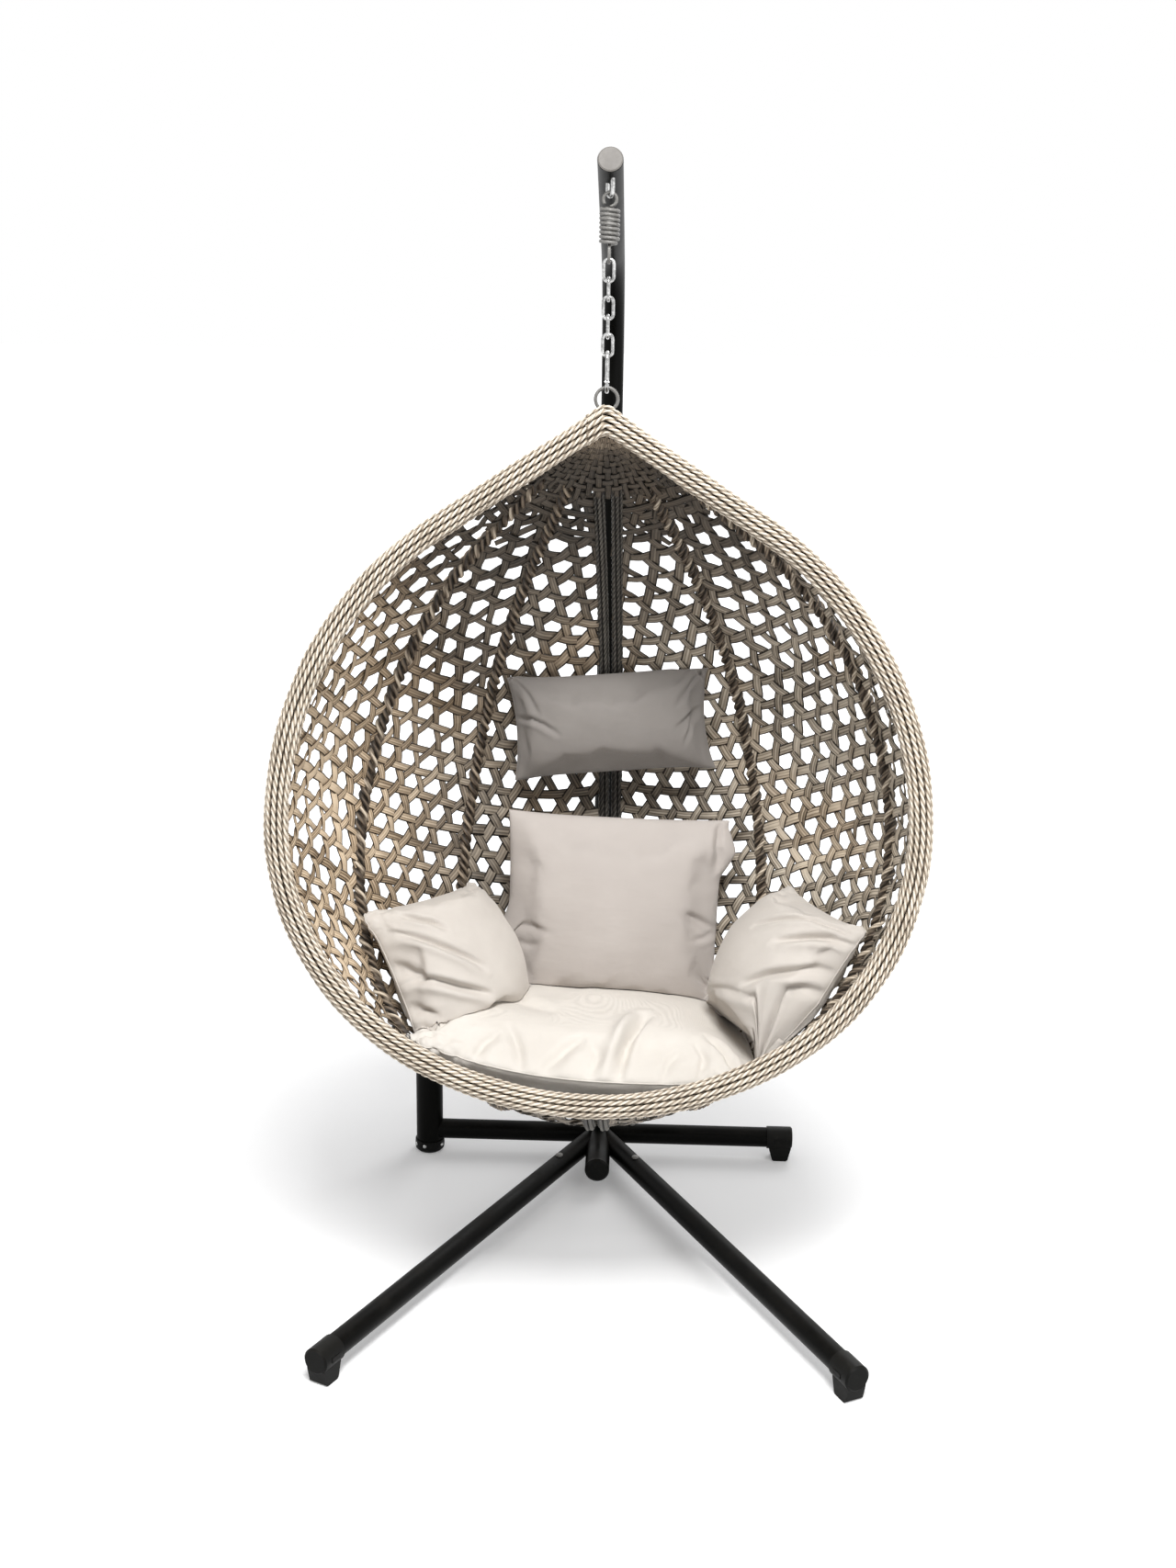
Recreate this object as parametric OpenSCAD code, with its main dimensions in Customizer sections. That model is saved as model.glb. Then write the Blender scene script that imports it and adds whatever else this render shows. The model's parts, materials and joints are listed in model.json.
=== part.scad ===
// Hanging egg chair: a woven teardrop basket on a chain and spring, hung from a one-legged steel stand.
// Millimetres. +Z up, the seat faces -Y, origin on the floor at the centre of the plan box.

/* [Stand] */
// Outer diameter of the base and leg tubes
leg_tube_d = 40; // [34:1:48]
// Wall of every steel tube
tube_wall = 1.5; // [1:0.5:3]
// Height of the base tubes' axes above the floor
leg_axis_z = 45; // [42:1:60]
// Hub centre to the tip of a front leg's tube
leg_len = 945; // [800:5:1050]
// Angle of each front leg from straight ahead
leg_angle = 27; // [20:1:35]
// Hub centre to the end of the right rear arm
rear_arm_len = 385; // [330:5:450]
// Hub centre to the axis of the left upright
upright_x = 348; // [320:1:400]
// Diameter of the left upright
upright_d = 54; // [46:1:60]
// Height of the left upright
upright_h = 240; // [120:5:260]
// Length of the hub's side sleeves from the hub centre
side_sleeve_len = 92; // [80:1:120]
// Length of the hub's leg sleeves from the hub centre
leg_sleeve_len = 190; // [160:1:240]
// Length of the capped stub in front of the hub
stub_len = 162; // [120:1:190]

/* [Pole] */
// Outer diameter of the pole
pole_d = 40; // [36:1:44]
// Outer diameter of the socket that the pole stands in
socket_d = 48; // [46:1:54]
// Top of that socket
socket_top_z = 190; // [140:5:240]
// Height of the joint between the lower and the upper pole
pole_joint_z = 960; // [800:10:1200]
// Radius of the bend, at the tube's axis
bend_r = 220; // [180:5:280]
// How far the arm rises from level
arm_rise = 20; // [10:1:30]
// Pole axis to the end of the arm
arm_reach = 500; // [460:5:560]
// Height of the arm's end, at the tube's axis
arm_end_z = 1898; // [1850:1:1950]
// Pole axis to the line that the basket hangs on
hang_reach = 475; // [440:1:530]

/* [Spring and chain] */
// Rod of the fixed eye under the arm
eye_rod = 6.5; // [5:0.5:8]
// Wire of the spring
spring_wire = 5; // [4:0.5:6]
// Radius of the coils, at the wire's axis
coil_r = 14; // [11:0.5:16]
// Rise of one curl
coil_pitch = 6.8; // [6.2:0.1:9]
// Whole curls, before the last quarter
curls = 8; // [6:1:10]
// Rod of a chain link
link_rod = 5; // [4:0.5:6]
// Length of a link's hole
link_hole = 28.5; // [26:0.5:34]
// Outer width of a link
link_w = 21; // [19:0.5:26]
// Number of links
links = 5; // [5:1:5]
// Rod of the snap hook
snap_rod = 6; // [5:0.5:8]
// Outer length of the snap hook
snap_len = 66; // [60:1:80]
// Outer width of the snap hook
snap_w = 28; // [26:1:34]
// Outer diameter of the ring on the basket
ring_d = 41; // [36:1:50]
// Rod of that ring
ring_rod = 5.5; // [4.5:0.5:8]
// Air between two pieces that hang in each other
hang_gap = 0.3; // [0.2:0.05:0.5]

/* [Basket] */
// Width over the rim's rope
basket_w = 1052; // [1000:2:1120]
// Top of the rim to its bottom, along its own plane
rim_len = 1124; // [1110:2:1180]
// Top of the rim to its widest place, along its plane
rim_wide_at = 659; // [630:1:664]
// Slope of the two straight shoulders, below level
shoulder_slope = 33.6; // [32:0.2:38]
// Outer radius of the rim between shoulder and widest place
shoulder_r = 575; // [540:1:590]
// Outer radius of the rim below the widest place
haunch_r = 440; // [400:1:440]
// Lean of the rim's plane: its foot stands further forward
rim_lean = 12.4; // [8:0.1:14]
// Height of the rim's tip
rim_tip_z = 1540; // [1520:1:1560]
// Tip of the rim in front of the hanging line
rim_tip_front = 50; // [30:1:54]
// Diameter of the rope bundle round the rim
bundle_d = 40; // [36:1:44]
// Diameter of the steel tube inside it
rim_tube_d = 25; // [22:1:28]
// Depth of the basket behind the rim's plane
basket_depth = 530; // [480:5:560]
// Diameter of a bound side rib
rib_d = 24; // [14:1:25]
// Diameter of a wrapped spine rib
spine_rib_d = 21; // [16:1:23]
// Place of the left outer rib round the skin, from the left rim (0) to the right rim (180)
left_outer_b = 34.5; // [30:0.5:40]
// Place of the left inner rib
left_inner_b = 60; // [55:0.5:64]
// Place of the two spine ribs
spine_b = 91.5; // [88:0.5:92]
// Place of the right inner rib
right_inner_b = 125; // [118:0.5:128]
// Place of the right outer rib
right_outer_b = 162; // [140:0.5:162]
// Thickness of the woven skin
skin_t = 3; // [2.5:0.5:8]

/* [Cushions] */
// Seat cushion: width, depth, rise of the crown, drop of the belly
seat_size = [570, 400, 36, 60]; // [30:1:560]
// Back cushion: width, height, and its two crowns
back_size = [400, 370, 52, 40]; // [30:1:440]
// Headrest: width, height, and its two crowns
head_size = [372, 192, 42, 30]; // [20:1:400]
// Arm cushion: width, height, and its two crowns
arm_size = [282, 262, 70, 44]; // [30:1:320]
// Facets along one side of a cushion
cushion_grid = 12; // [8:2:16]

/* [Hidden] */
$fn = 48;
eps = 0.01;

steel = [0.07, 0.07, 0.065];
plastic = [0.10, 0.10, 0.10];
zinc = [0.80, 0.81, 0.82];
rattan = [0.47, 0.43, 0.37];
rope = [0.84, 0.78, 0.68];
cloth = [0.86, 0.83, 0.79];

leg_r = leg_tube_d / 2;
neck_d = leg_tube_d - 2 * tube_wall - 0.8;   // swaged end that slides into a sleeve
sleeve_bore = neck_d + 0.2;
neck_len = 55;
bolt_back = 25;                              // from a sleeve's mouth to its bolt
bolt_d = 8;
bolt_head_d = 14;
bolt_head_h = 4.5;
foot_d = leg_tube_d + 5;
foot_cover = 42;                             // length of tube inside a foot
foot_end = 9;                                // plastic beyond the tube's end
pad_w = 34;
plug_d = upright_d + 6;
plug_h = 24;

// The plan box runs from the front feet's tips to the plug's back edge.
front_extent = (leg_len + foot_end) * cos(leg_angle) + (foot_d / 2 - 3) * sin(leg_angle);
hub_y = (front_extent - plug_d / 2) / 2;
hang_y = hub_y - hang_reach;

bend_angle = 90 - arm_rise;
arm_straight = (arm_reach - bend_r * (1 - cos(bend_angle))) / cos(arm_rise);
bend_z = arm_end_z - bend_r * sin(bend_angle) - arm_straight * sin(arm_rise);
pole_neck_d = pole_d - 2 * tube_wall - 0.2;
pole_neck_len = 80;
arm_z_at_hang = arm_end_z - (arm_reach - hang_reach) * tan(arm_rise);

// Heights down the hanging line, each piece resting on the one above it
eye_r = 10;                                   // bend of the fixed eye
eye_z = arm_z_at_hang - pole_d / 2 / cos(arm_rise) - 21;   // axis of the eye's lowest rod
top_loop_r = 10.5;
top_loop_z = eye_z + eye_rod / 2 + hang_gap + spring_wire / 2 - top_loop_r;
coil_top_z = top_loop_z - top_loop_r;
coil_bottom_z = coil_top_z - coil_pitch * (curls + 0.25);
foot_loop_r = 13.5;
foot_loop_z = coil_bottom_z - foot_loop_r;
link_1_top = foot_loop_z - foot_loop_r + spring_wire / 2 + hang_gap;
link_step = link_hole - hang_gap;
function link_z(n) = link_1_top - (n - 1) * link_step - link_hole / 2;
link_r = (link_w - link_rod) / 2;
snap_top = link_z(links) - link_hole / 2 + hang_gap;
snap_hole = snap_len - 2 * snap_rod;
snap_r = (snap_w - snap_rod) / 2;
snap_z = snap_top - snap_hole / 2;
gate_low = -15;                               // the gate's pivot, from the hook's middle
gate_high = 15;
gate_d = 6;
ring_r = (ring_d - ring_rod) / 2;
ring_z = snap_top - snap_hole + hang_gap + ring_rod / 2 - ring_r;

// The rim: its outline at the bundle's axis, in its own leaning plane.
bundle_r = bundle_d / 2;
rim_a = basket_w / 2 - bundle_r;
rim_b = rim_len - bundle_r - rim_wide_at;
arc_1_r = shoulder_r - bundle_r;
arc_2_r = haunch_r - bundle_r;
arc_3_r = (pow(rim_a - arc_2_r, 2) + rim_b * rim_b - arc_2_r * arc_2_r) / (2 * (rim_b - arc_2_r));
arc_1_sweep = 90 - shoulder_slope;
arc_2_sweep = atan2(arc_3_r - rim_b, rim_a - arc_2_r);
arc_3_sweep = 90 - arc_2_sweep;
shoulder_end = [rim_a - arc_1_r * (1 - cos(arc_1_sweep)), rim_wide_at - arc_1_r * sin(arc_1_sweep)];
tip_d = shoulder_end[1] - shoulder_end[0] * tan(shoulder_slope);
shoulder_len = shoulder_end[0] / cos(shoulder_slope);
arc_3_c = rim_wide_at + rim_b - arc_3_r;
sill_half = 230;                              // half the width of rim that the ribs end on
arc_3_used = arc_3_sweep - asin(sill_half / arc_3_r);
arc_1_len = arc_1_r * arc_1_sweep * PI / 180;
arc_2_len = arc_2_r * arc_2_sweep * PI / 180;
arc_3_len = arc_3_r * arc_3_used * PI / 180;
skin_len = shoulder_len + arc_1_len + arc_2_len + arc_3_len;
rim_tip = [0, hang_y - rim_tip_front, rim_tip_z];

// A place given across, down and behind the rim's plane, as a point of the model
function place(x, d, n) = rim_tip
    + [x, n * cos(rim_lean) - d * sin(rim_lean), -d * cos(rim_lean) - n * sin(rim_lean)];

// The half rim at a share s of its length from the tip: [across, down]
function rim_at(s) = let(l = s * skin_len)
    l < shoulder_len ? [l * cos(shoulder_slope), tip_d + l * sin(shoulder_slope)]
    : l < shoulder_len + arc_1_len ?
        let(a = arc_1_sweep - (l - shoulder_len) / arc_1_r * 180 / PI)
        [rim_a - arc_1_r + arc_1_r * cos(a), rim_wide_at - arc_1_r * sin(a)]
    : l < shoulder_len + arc_1_len + arc_2_len ?
        let(a = (l - shoulder_len - arc_1_len) / arc_2_r * 180 / PI)
        [rim_a - arc_2_r + arc_2_r * cos(a), rim_wide_at + arc_2_r * sin(a)]
    : let(a = arc_2_sweep + (l - shoulder_len - arc_1_len - arc_2_len) / arc_3_r * 180 / PI)
        [arc_3_r * cos(a), arc_3_c + arc_3_r * sin(a)];

// The spine's line, [down, behind], as two joined cubic curves
rim_foot_d = rim_wide_at + rim_b;
upper_spine = [[tip_d, 0], [150, 0.34 * basket_depth], [400, basket_depth], [690, basket_depth]];
lower_spine = [[690, basket_depth], [930, basket_depth], [1330, 0.62 * basket_depth], [rim_foot_d, 0]];
function cubic(p, u) = pow(1 - u, 3) * p[0] + 3 * u * pow(1 - u, 2) * p[1]
    + 3 * u * u * (1 - u) * p[2] + pow(u, 3) * p[3];
function spine_at(s) = s < 0.5 ? cubic(upper_spine, 2 * s) : cubic(lower_spine, 2 * s - 1);

// The basket's skin: b runs round from the left rim (0) over the spine (90) to the right rim (180),
// and s runs down from the tip to the sill
function skin(b, s) = let(r = rim_at(s), p = spine_at(s))
    place(-r[0] * cos(b), r[1] + (p[0] - r[1]) * pow(sin(b), 2), p[1] * sin(b));
function unit(v) = v / norm(v);
function skin_normal(b, s) = unit(cross(skin(b, s + 0.004) - skin(b, s - 0.004),
    skin(b + 0.6, s) - skin(b - 0.6, s)));

rib_rings = 26;
skin_rows = 20;

// ---------- shared shapes ----------

// A closed tube along a list of points, with its cross-section turned as little as possible
function turned(v, from, to) = let(axis = cross(from, to), c = from * to)
    norm(axis) < 1e-9 ? v : v * c + cross(axis, v) + axis * (axis * v) / (1 + c);
function tangents(p) = [for (i = [0:len(p) - 1])
    unit(p[min(i + 1, len(p) - 1)] - p[max(i - 1, 0)])];
function carried(t, start) = [for (i = 0, v = start; i < len(t);
    i = i + 1, v = i < len(t) ? turned(v, t[i - 1], t[i]) : v) v];
module swept(p, r, start, sides = 8) {
    t = tangents(p);
    u = carried(t, unit(start - t[0] * (start * t[0])));
    rings = [for (i = [0:len(p) - 1]) for (k = [0:sides - 1])
        let(a = 360 * k / sides) p[i] + r * (cos(a) * u[i] + sin(a) * cross(t[i], u[i]))];
    n = len(p);
    walls = [for (i = [0:n - 2]) for (k = [0:sides - 1]) let(k2 = (k + 1) % sides)
        each [[i * sides + k, (i + 1) * sides + k, i * sides + k2],
              [i * sides + k2, (i + 1) * sides + k, (i + 1) * sides + k2]]];
    ends = [for (k = [1:sides - 2])
        each [[0, k, k + 1], [(n - 1) * sides, (n - 1) * sides + k + 1, (n - 1) * sides + k]]];
    polyhedron(rings, concat(walls, ends), convexity = 8);
}

// A slab between two grids of the same size, row by row
module slab(outer, inner, rows, cols) {
    n = rows * cols;
    function quad(a, b, c, d) = [[a, b, c], [a, c, d]];
    faces = concat(
        [for (i = [0:rows - 2]) for (j = [0:cols - 2]) let(a = i * cols + j)
            each quad(a, a + 1, a + cols + 1, a + cols)],
        [for (i = [0:rows - 2]) for (j = [0:cols - 2]) let(a = n + i * cols + j)
            each quad(a, a + cols, a + cols + 1, a + 1)],
        [for (j = [0:cols - 2]) each quad(j, n + j, n + j + 1, j + 1)],
        [for (j = [0:cols - 2]) let(a = (rows - 1) * cols + j) each quad(a + 1, n + a + 1, n + a, a)],
        [for (i = [0:rows - 2]) let(a = i * cols) each quad(a + cols, n + a + cols, n + a, a)],
        [for (i = [0:rows - 2]) let(a = i * cols + cols - 1) each quad(a, n + a, n + a + cols, a + cols)]
    );
    polyhedron(concat(outer, inner), faces, convexity = 6);
}

module tube(d, wall, length) {
    difference() {
        cylinder(d = d, h = length);
        translate([0, 0, -eps]) cylinder(d = d - 2 * wall, h = length + 2 * eps);
    }
}

// A pipe lying from the hub outwards, at an angle from +X
module outwards(angle, from = 0) {
    translate([0, hub_y, leg_axis_z]) rotate([0, 0, angle]) translate([from, 0, 0])
        rotate([0, 90, 0]) children();
}
left_leg_dir = -90 - leg_angle;
right_leg_dir = -90 + leg_angle;

// A bolt that stands in the top of a tube: at the origin of the tube's axis
module bolt_hole() {
    cylinder(d = bolt_d + 0.4, h = leg_r + 1);
}
module bolt() {
    cylinder(d = bolt_d, h = leg_r + 1);
    intersection() {
        translate([0, 0, leg_r]) cylinder(d = bolt_head_d, h = bolt_head_h);
        translate([0, 0, leg_r - 6]) sphere(r = 11);
    }
}
module at_base_bolt(angle, along) {
    translate([0, hub_y, leg_axis_z]) rotate([0, 0, angle]) translate([along, 0, 0]) children();
}
module each_base_bolt() {
    at_base_bolt(0, side_sleeve_len - bolt_back) children();
    at_base_bolt(180, side_sleeve_len - bolt_back) children();
    at_base_bolt(left_leg_dir, leg_sleeve_len - bolt_back) children();
    at_base_bolt(right_leg_dir, leg_sleeve_len - bolt_back) children();
}

// ---------- stand ----------

module base_hub() color(steel) difference() {
    union() {
        outwards(0, -side_sleeve_len) cylinder(d = leg_tube_d, h = 2 * side_sleeve_len);
        outwards(left_leg_dir) cylinder(d = leg_tube_d, h = leg_sleeve_len);
        outwards(right_leg_dir) cylinder(d = leg_tube_d, h = leg_sleeve_len);
        outwards(-90) cylinder(d = socket_d, h = stub_len);
        translate([0, hub_y, leg_axis_z]) sphere(d = socket_d + 4);
        translate([0, hub_y, leg_axis_z]) cylinder(d = socket_d, h = socket_top_z - leg_axis_z);
    }
    outwards(0, side_sleeve_len - neck_len) cylinder(d = sleeve_bore, h = neck_len + eps);
    outwards(180, side_sleeve_len - neck_len) cylinder(d = sleeve_bore, h = neck_len + eps);
    outwards(left_leg_dir, leg_sleeve_len - neck_len) cylinder(d = sleeve_bore, h = neck_len + eps);
    outwards(right_leg_dir, leg_sleeve_len - neck_len) cylinder(d = sleeve_bore, h = neck_len + eps);
    outwards(-90, stub_len - 20) cylinder(d = socket_d - 6, h = 20 + eps);
    translate([0, hub_y, leg_axis_z + leg_r]) cylinder(d = pole_d + 0.4, h = socket_top_z);
    each_base_bolt() bolt_hole();
}

module hub_front_cap() color(plastic) {
    outwards(-90, stub_len - 15) cylinder(d = socket_d - 6.4, h = 15);
    outwards(-90, stub_len) cylinder(d = socket_d, h = 3);
    outwards(-90, stub_len + 3) cylinder(d1 = socket_d, d2 = socket_d - 8, h = 3.5);
}

// A base tube with a swaged neck, from one distance to another along its direction
module base_tube(angle, from, to) color(steel) difference() {
    union() {
        outwards(angle, from) cylinder(d = leg_tube_d, h = to - from);
        outwards(angle, from - neck_len + 1) cylinder(d = neck_d, h = neck_len);
    }
    outwards(angle, from - neck_len) cylinder(d = neck_d - 2 * tube_wall, h = to - from + neck_len + 1);
    at_base_bolt(angle, from - bolt_back) bolt_hole();
}
module left_rear_arm() difference() {
    base_tube(180, side_sleeve_len, upright_x);
    translate([-upright_x, hub_y, 0]) cylinder(d = upright_d + 0.1, h = upright_h);
}
module right_rear_arm() base_tube(0, side_sleeve_len, rear_arm_len);
module left_front_leg() base_tube(left_leg_dir, leg_sleeve_len, leg_len);
module right_front_leg() base_tube(right_leg_dir, leg_sleeve_len, leg_len);

// A moulded end cap with its floor pad, along +X, the tube's end at x = 0
module foot_shape() color(plastic) difference() {
    union() {
        rotate([0, 90, 0]) translate([0, 0, -foot_cover]) cylinder(d = foot_d, h = foot_cover + foot_end - 3);
        rotate([0, 90, 0]) translate([0, 0, foot_end - 3]) cylinder(d1 = foot_d, d2 = foot_d - 6, h = 3);
        translate([0, pad_w / 2, 0]) rotate([90, 0, 0]) linear_extrude(pad_w) polygon([
            [-foot_cover + 4, -foot_d / 2 + 5], [-31, -leg_axis_z + 3], [-28, -leg_axis_z],
            [foot_end - 12, -leg_axis_z], [foot_end - 8, -leg_axis_z + 3],
            [foot_end - 2, -foot_d / 2 + 6], [foot_end - 3, 0], [-foot_cover + 4, 0]
        ]);
        translate([-30, -foot_d / 2 - 0.8, -4]) cube([22, foot_d + 1.6, 8]);
    }
    rotate([0, 90, 0]) translate([0, 0, -foot_cover - eps]) cylinder(d = leg_tube_d + 0.1, h = foot_cover + eps);
}
module foot(angle, length) {
    translate([0, hub_y, leg_axis_z]) rotate([0, 0, angle]) translate([length, 0, 0]) foot_shape();
}
module left_front_foot() foot(left_leg_dir, leg_len);
module right_front_foot() foot(right_leg_dir, leg_len);
module rear_foot() foot(0, rear_arm_len);

module left_upright() color(steel) difference() {
    translate([-upright_x, hub_y, 8]) cylinder(d = upright_d, h = upright_h - 8);
    translate([-upright_x, hub_y, 7]) cylinder(d = upright_d - 4, h = upright_h);
    each_plug_screw() cylinder(d = 4.4, h = 12, center = true);
}

module each_plug_screw() {
    for (a = [-150, -105, -30, 60])
        translate([-upright_x, hub_y, 16]) rotate([0, 0, a]) translate([plug_d / 2 - 2, 0, 0])
            rotate([0, 90, 0]) children();
}
module upright_plug() color(plastic) difference() {
    translate([-upright_x, hub_y, 0]) rotate_extrude() polygon([
        [0, 0], [plug_d / 2 - 6, 0], [plug_d / 2 - 1, 5], [plug_d / 2, 12],
        [plug_d / 2 - 0.6, plug_h], [upright_d / 2 + 0.1, plug_h], [upright_d / 2 + 0.1, 7.9],
        [upright_d / 2 - 2.2, 7.9], [upright_d / 2 - 2.2, plug_h - 6], [0, plug_h - 6]
    ]);
    each_plug_screw() translate([0, 0, -2]) cylinder(d = 4.4, h = 12, center = true);
}
module upright_screws() color(zinc) each_plug_screw() {
    translate([0, 0, -5]) cylinder(d = 4, h = 7);
    translate([0, 0, 1.9]) cylinder(d1 = 7.4, d2 = 4.6, h = 2);
}

module base_bolts() color(zinc) each_base_bolt() bolt();

module lower_pole() color(steel) difference() {
    translate([0, hub_y, leg_axis_z + leg_r]) tube(pole_d, tube_wall, pole_joint_z - leg_axis_z - leg_r);
    each_pole_bolt() bolt_hole();
}

module bend_at() {
    translate([0, hub_y - bend_r, bend_z]) rotate([90, 0, 90]) children();
}
// From the arm's end back down its axis
module along_arm() {
    translate([0, hub_y - arm_reach, arm_end_z]) rotate([-90 - arm_rise, 0, 0]) children();
}
module upper_pole() color(steel) difference() {
    union() {
        translate([0, hub_y, pole_joint_z]) tube(pole_d, tube_wall, bend_z - pole_joint_z);
        translate([0, hub_y, pole_joint_z - pole_neck_len])
            tube(pole_neck_d, tube_wall, pole_neck_len + 4);
        translate([0, hub_y, pole_joint_z]) tube(pole_d, 2 * tube_wall + 0.1, 4);
        bend_at() rotate_extrude(angle = bend_angle) translate([bend_r, 0]) difference() {
            circle(d = pole_d);
            circle(d = pole_d - 2 * tube_wall);
        }
        along_arm() tube(pole_d, tube_wall, arm_straight);
    }
    each_pole_bolt() bolt_hole();
}
module each_pole_bolt() {
    for (z = [pole_joint_z - 60, pole_joint_z - 25])
        translate([0, hub_y, z]) rotate([-90, 0, 0]) children();
}
module pole_bolts() color(zinc) each_pole_bolt() {
    cylinder(d = bolt_d, h = pole_d / 2);
    translate([0, 0, pole_d / 2]) cylinder(d1 = bolt_head_d, d2 = bolt_head_d - 4, h = bolt_head_h);
}

module arm_end_cap() color([0.55, 0.53, 0.51])
    along_arm() mirror([0, 0, 1]) {
        translate([0, 0, -14]) cylinder(d = pole_d - 2 * tube_wall - 0.3, h = 14);
        cylinder(d = pole_d - 1.2, h = 2);
        translate([0, 0, 2]) cylinder(d1 = pole_d - 1.2, d2 = pole_d - 5, h = 1.4);
    }

// The fixed eye: a rod bent to a U and turned a little from the arm's own line
eye_turn = 24;
module arm_eye() color(zinc) difference() {
    translate([0, hang_y, eye_z + eye_r]) rotate([0, 0, eye_turn]) {
        rotate([90, 0, 90]) rotate([0, 0, 180]) rotate_extrude(angle = 180) translate([eye_r, 0])
            circle(d = eye_rod);
        for (side = [-1, 1]) translate([0, side * eye_r, 0]) cylinder(d = eye_rod, h = 30);
    }
    along_arm() translate([0, 0, -60]) cylinder(d = pole_d, h = 200);
}

// ---------- spring and chain ----------

// One wire: a loop across, a half turn out to the coils, the coils, a half turn back, a loop fore and aft
curl_rings = 8;
loop_rings = 12;
total_turn = 360 * curls + 90;
function coil_radius(a) = a < 180 ? coil_r * sin(a / 2)
    : a > total_turn - 180 ? coil_r * sin((total_turn - a) / 2) : coil_r;
spring_path = concat(
    [for (i = [0:loop_rings - 1]) let(a = 90 + 310 - i * 310 / loop_rings)
        [top_loop_r * cos(a + 180), 0, top_loop_z + top_loop_r * sin(a + 180)]],
    [for (i = [0:curls * curl_rings + 2]) let(a = i * 360 / curl_rings)
        [coil_radius(a) * cos(a), coil_radius(a) * sin(a), coil_top_z - coil_pitch * a / 360]],
    [for (i = [1:loop_rings]) let(a = 90 + i * 310 / loop_rings)
        [0, foot_loop_r * cos(a), foot_loop_z + foot_loop_r * sin(a)]]
);
spring_gap = min([for (i = [0:len(spring_path) - 6]) for (j = [i + 5:len(spring_path) - 1])
    norm(spring_path[i] - spring_path[j])]) - spring_wire;
echo(spring_least_gap_mm = spring_gap);
module spring() color([0.42, 0.41, 0.40]) translate([0, hang_y, 0])
    swept(spring_path, spring_wire / 2, [0, 1, 0.1], 6);

// A link of rod, lying in the XZ plane about its centre
module chain_link(rod, bend, hole) {
    reach = hole / 2 + rod / 2 - bend;
    for (side = [-1, 1]) translate([side * bend, 0, -reach]) cylinder(d = rod, h = 2 * reach);
    for (turn = [0, 180]) rotate([0, turn, 0]) translate([0, 0, reach]) rotate([90, 0, 0])
        rotate_extrude(angle = 180) translate([bend, 0]) circle(d = rod);
}
module link_node(n) color(zinc) translate([0, hang_y, link_z(n)]) rotate([0, 0, n % 2 == 0 ? 90 : 0])
    chain_link(link_rod, link_r, link_hole);
module chain_link_1() link_node(1);
module chain_link_2() link_node(2);
module chain_link_3() link_node(3);
module chain_link_4() link_node(4);
module chain_link_5() link_node(5);

// The snap hook lies fore and aft, its gate on the front side
gate_slot = 4;
module snap_hook() color(zinc) translate([0, hang_y, snap_z]) difference() {
    reach = snap_hole / 2 + snap_rod / 2 - snap_r;
    union() {
        translate([0, snap_r, -reach]) cylinder(d = snap_rod, h = 2 * reach);
        for (turn = [0, 180]) rotate([0, 0, 90]) rotate([0, turn, 0]) translate([0, 0, reach])
            rotate([90, 0, 0]) rotate_extrude(angle = 180) translate([snap_r, 0]) circle(d = snap_rod);
        translate([0, -snap_r, gate_high]) cylinder(d = snap_rod, h = reach - gate_high);
        translate([0, -snap_r, -reach]) cylinder(d = snap_rod, h = reach + gate_low);
        intersection() {
            translate([0, -snap_r, gate_low]) rotate([0, 90, 0]) cylinder(d = snap_rod, h = gate_slot, center = true);
            translate([-gate_slot / 2, -snap_r - 4, gate_low - 4]) cube([gate_slot, 8, 8]);
        }
    }
    for (side = [-1, 1]) translate([side * (gate_slot / 2 + 5), -snap_r, gate_low]) cube([10, 9, 9], center = true);
    translate([0, -snap_r, gate_low]) rotate([0, 90, 0]) cylinder(d = 2.6, h = 20, center = true);
}
module gate_pin() color(zinc) translate([0, hang_y - snap_r, snap_z + gate_low])
    rotate([0, 90, 0]) cylinder(d = 2.5, h = 7.6, center = true);
module snap_gate() color(zinc) translate([0, hang_y - snap_r, snap_z]) difference() {
    union() {
        translate([0, 0, gate_low + 4]) cylinder(d = gate_d, h = gate_high - gate_low - 4.5);
        for (side = [-1, 1]) translate([side * (gate_slot / 2 + 0.9), 0, gate_low])
            rotate([0, 90, 0]) cylinder(d = 6, h = 1.2, center = true);
        for (side = [-1, 1]) translate([side * (gate_slot / 2 + 0.9) - 0.6, -2.6, gate_low])
            cube([1.2, 5.2, 7]);
    }
    translate([-gate_slot / 2 - 0.3, -5, gate_low - 5]) cube([gate_slot + 0.6, 10, 8.6]);
    translate([0, 0, gate_low]) rotate([0, 90, 0]) cylinder(d = 2.6, h = 20, center = true);
}

// ---------- basket ----------

// The ring stands across on a lug that runs from the rim's tip back into the crown
lug_t = 5;
module hanging_ring() color(steel) {
    translate([0, hang_y, ring_z]) rotate([90, 0, 0]) rotate_extrude() translate([ring_r, 0]) circle(d = ring_rod);
    foot_z = ring_z - ring_r;
    tip = place(0, tip_d, 0);
    translate([-lug_t / 2, 0, 0]) rotate([90, 0, 90]) linear_extrude(lug_t) polygon([
        [hang_y - 11, foot_z], [hang_y + 11, foot_z], [hang_y + 24, foot_z - 50], [hang_y + 14, foot_z - 62],
        [hang_y - 18, foot_z - 44], [tip[1] + 11, tip[2] - 12], [tip[1] + 8, tip[2] + 2]
    ]);
}

// Turns the rim's drawing plane (across, down) into its place
module in_rim_plane() {
    translate(rim_tip) rotate([-rim_lean, 0, 0]) rotate([90, 0, 0]) mirror([0, 1, 0]) children();
}
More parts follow.
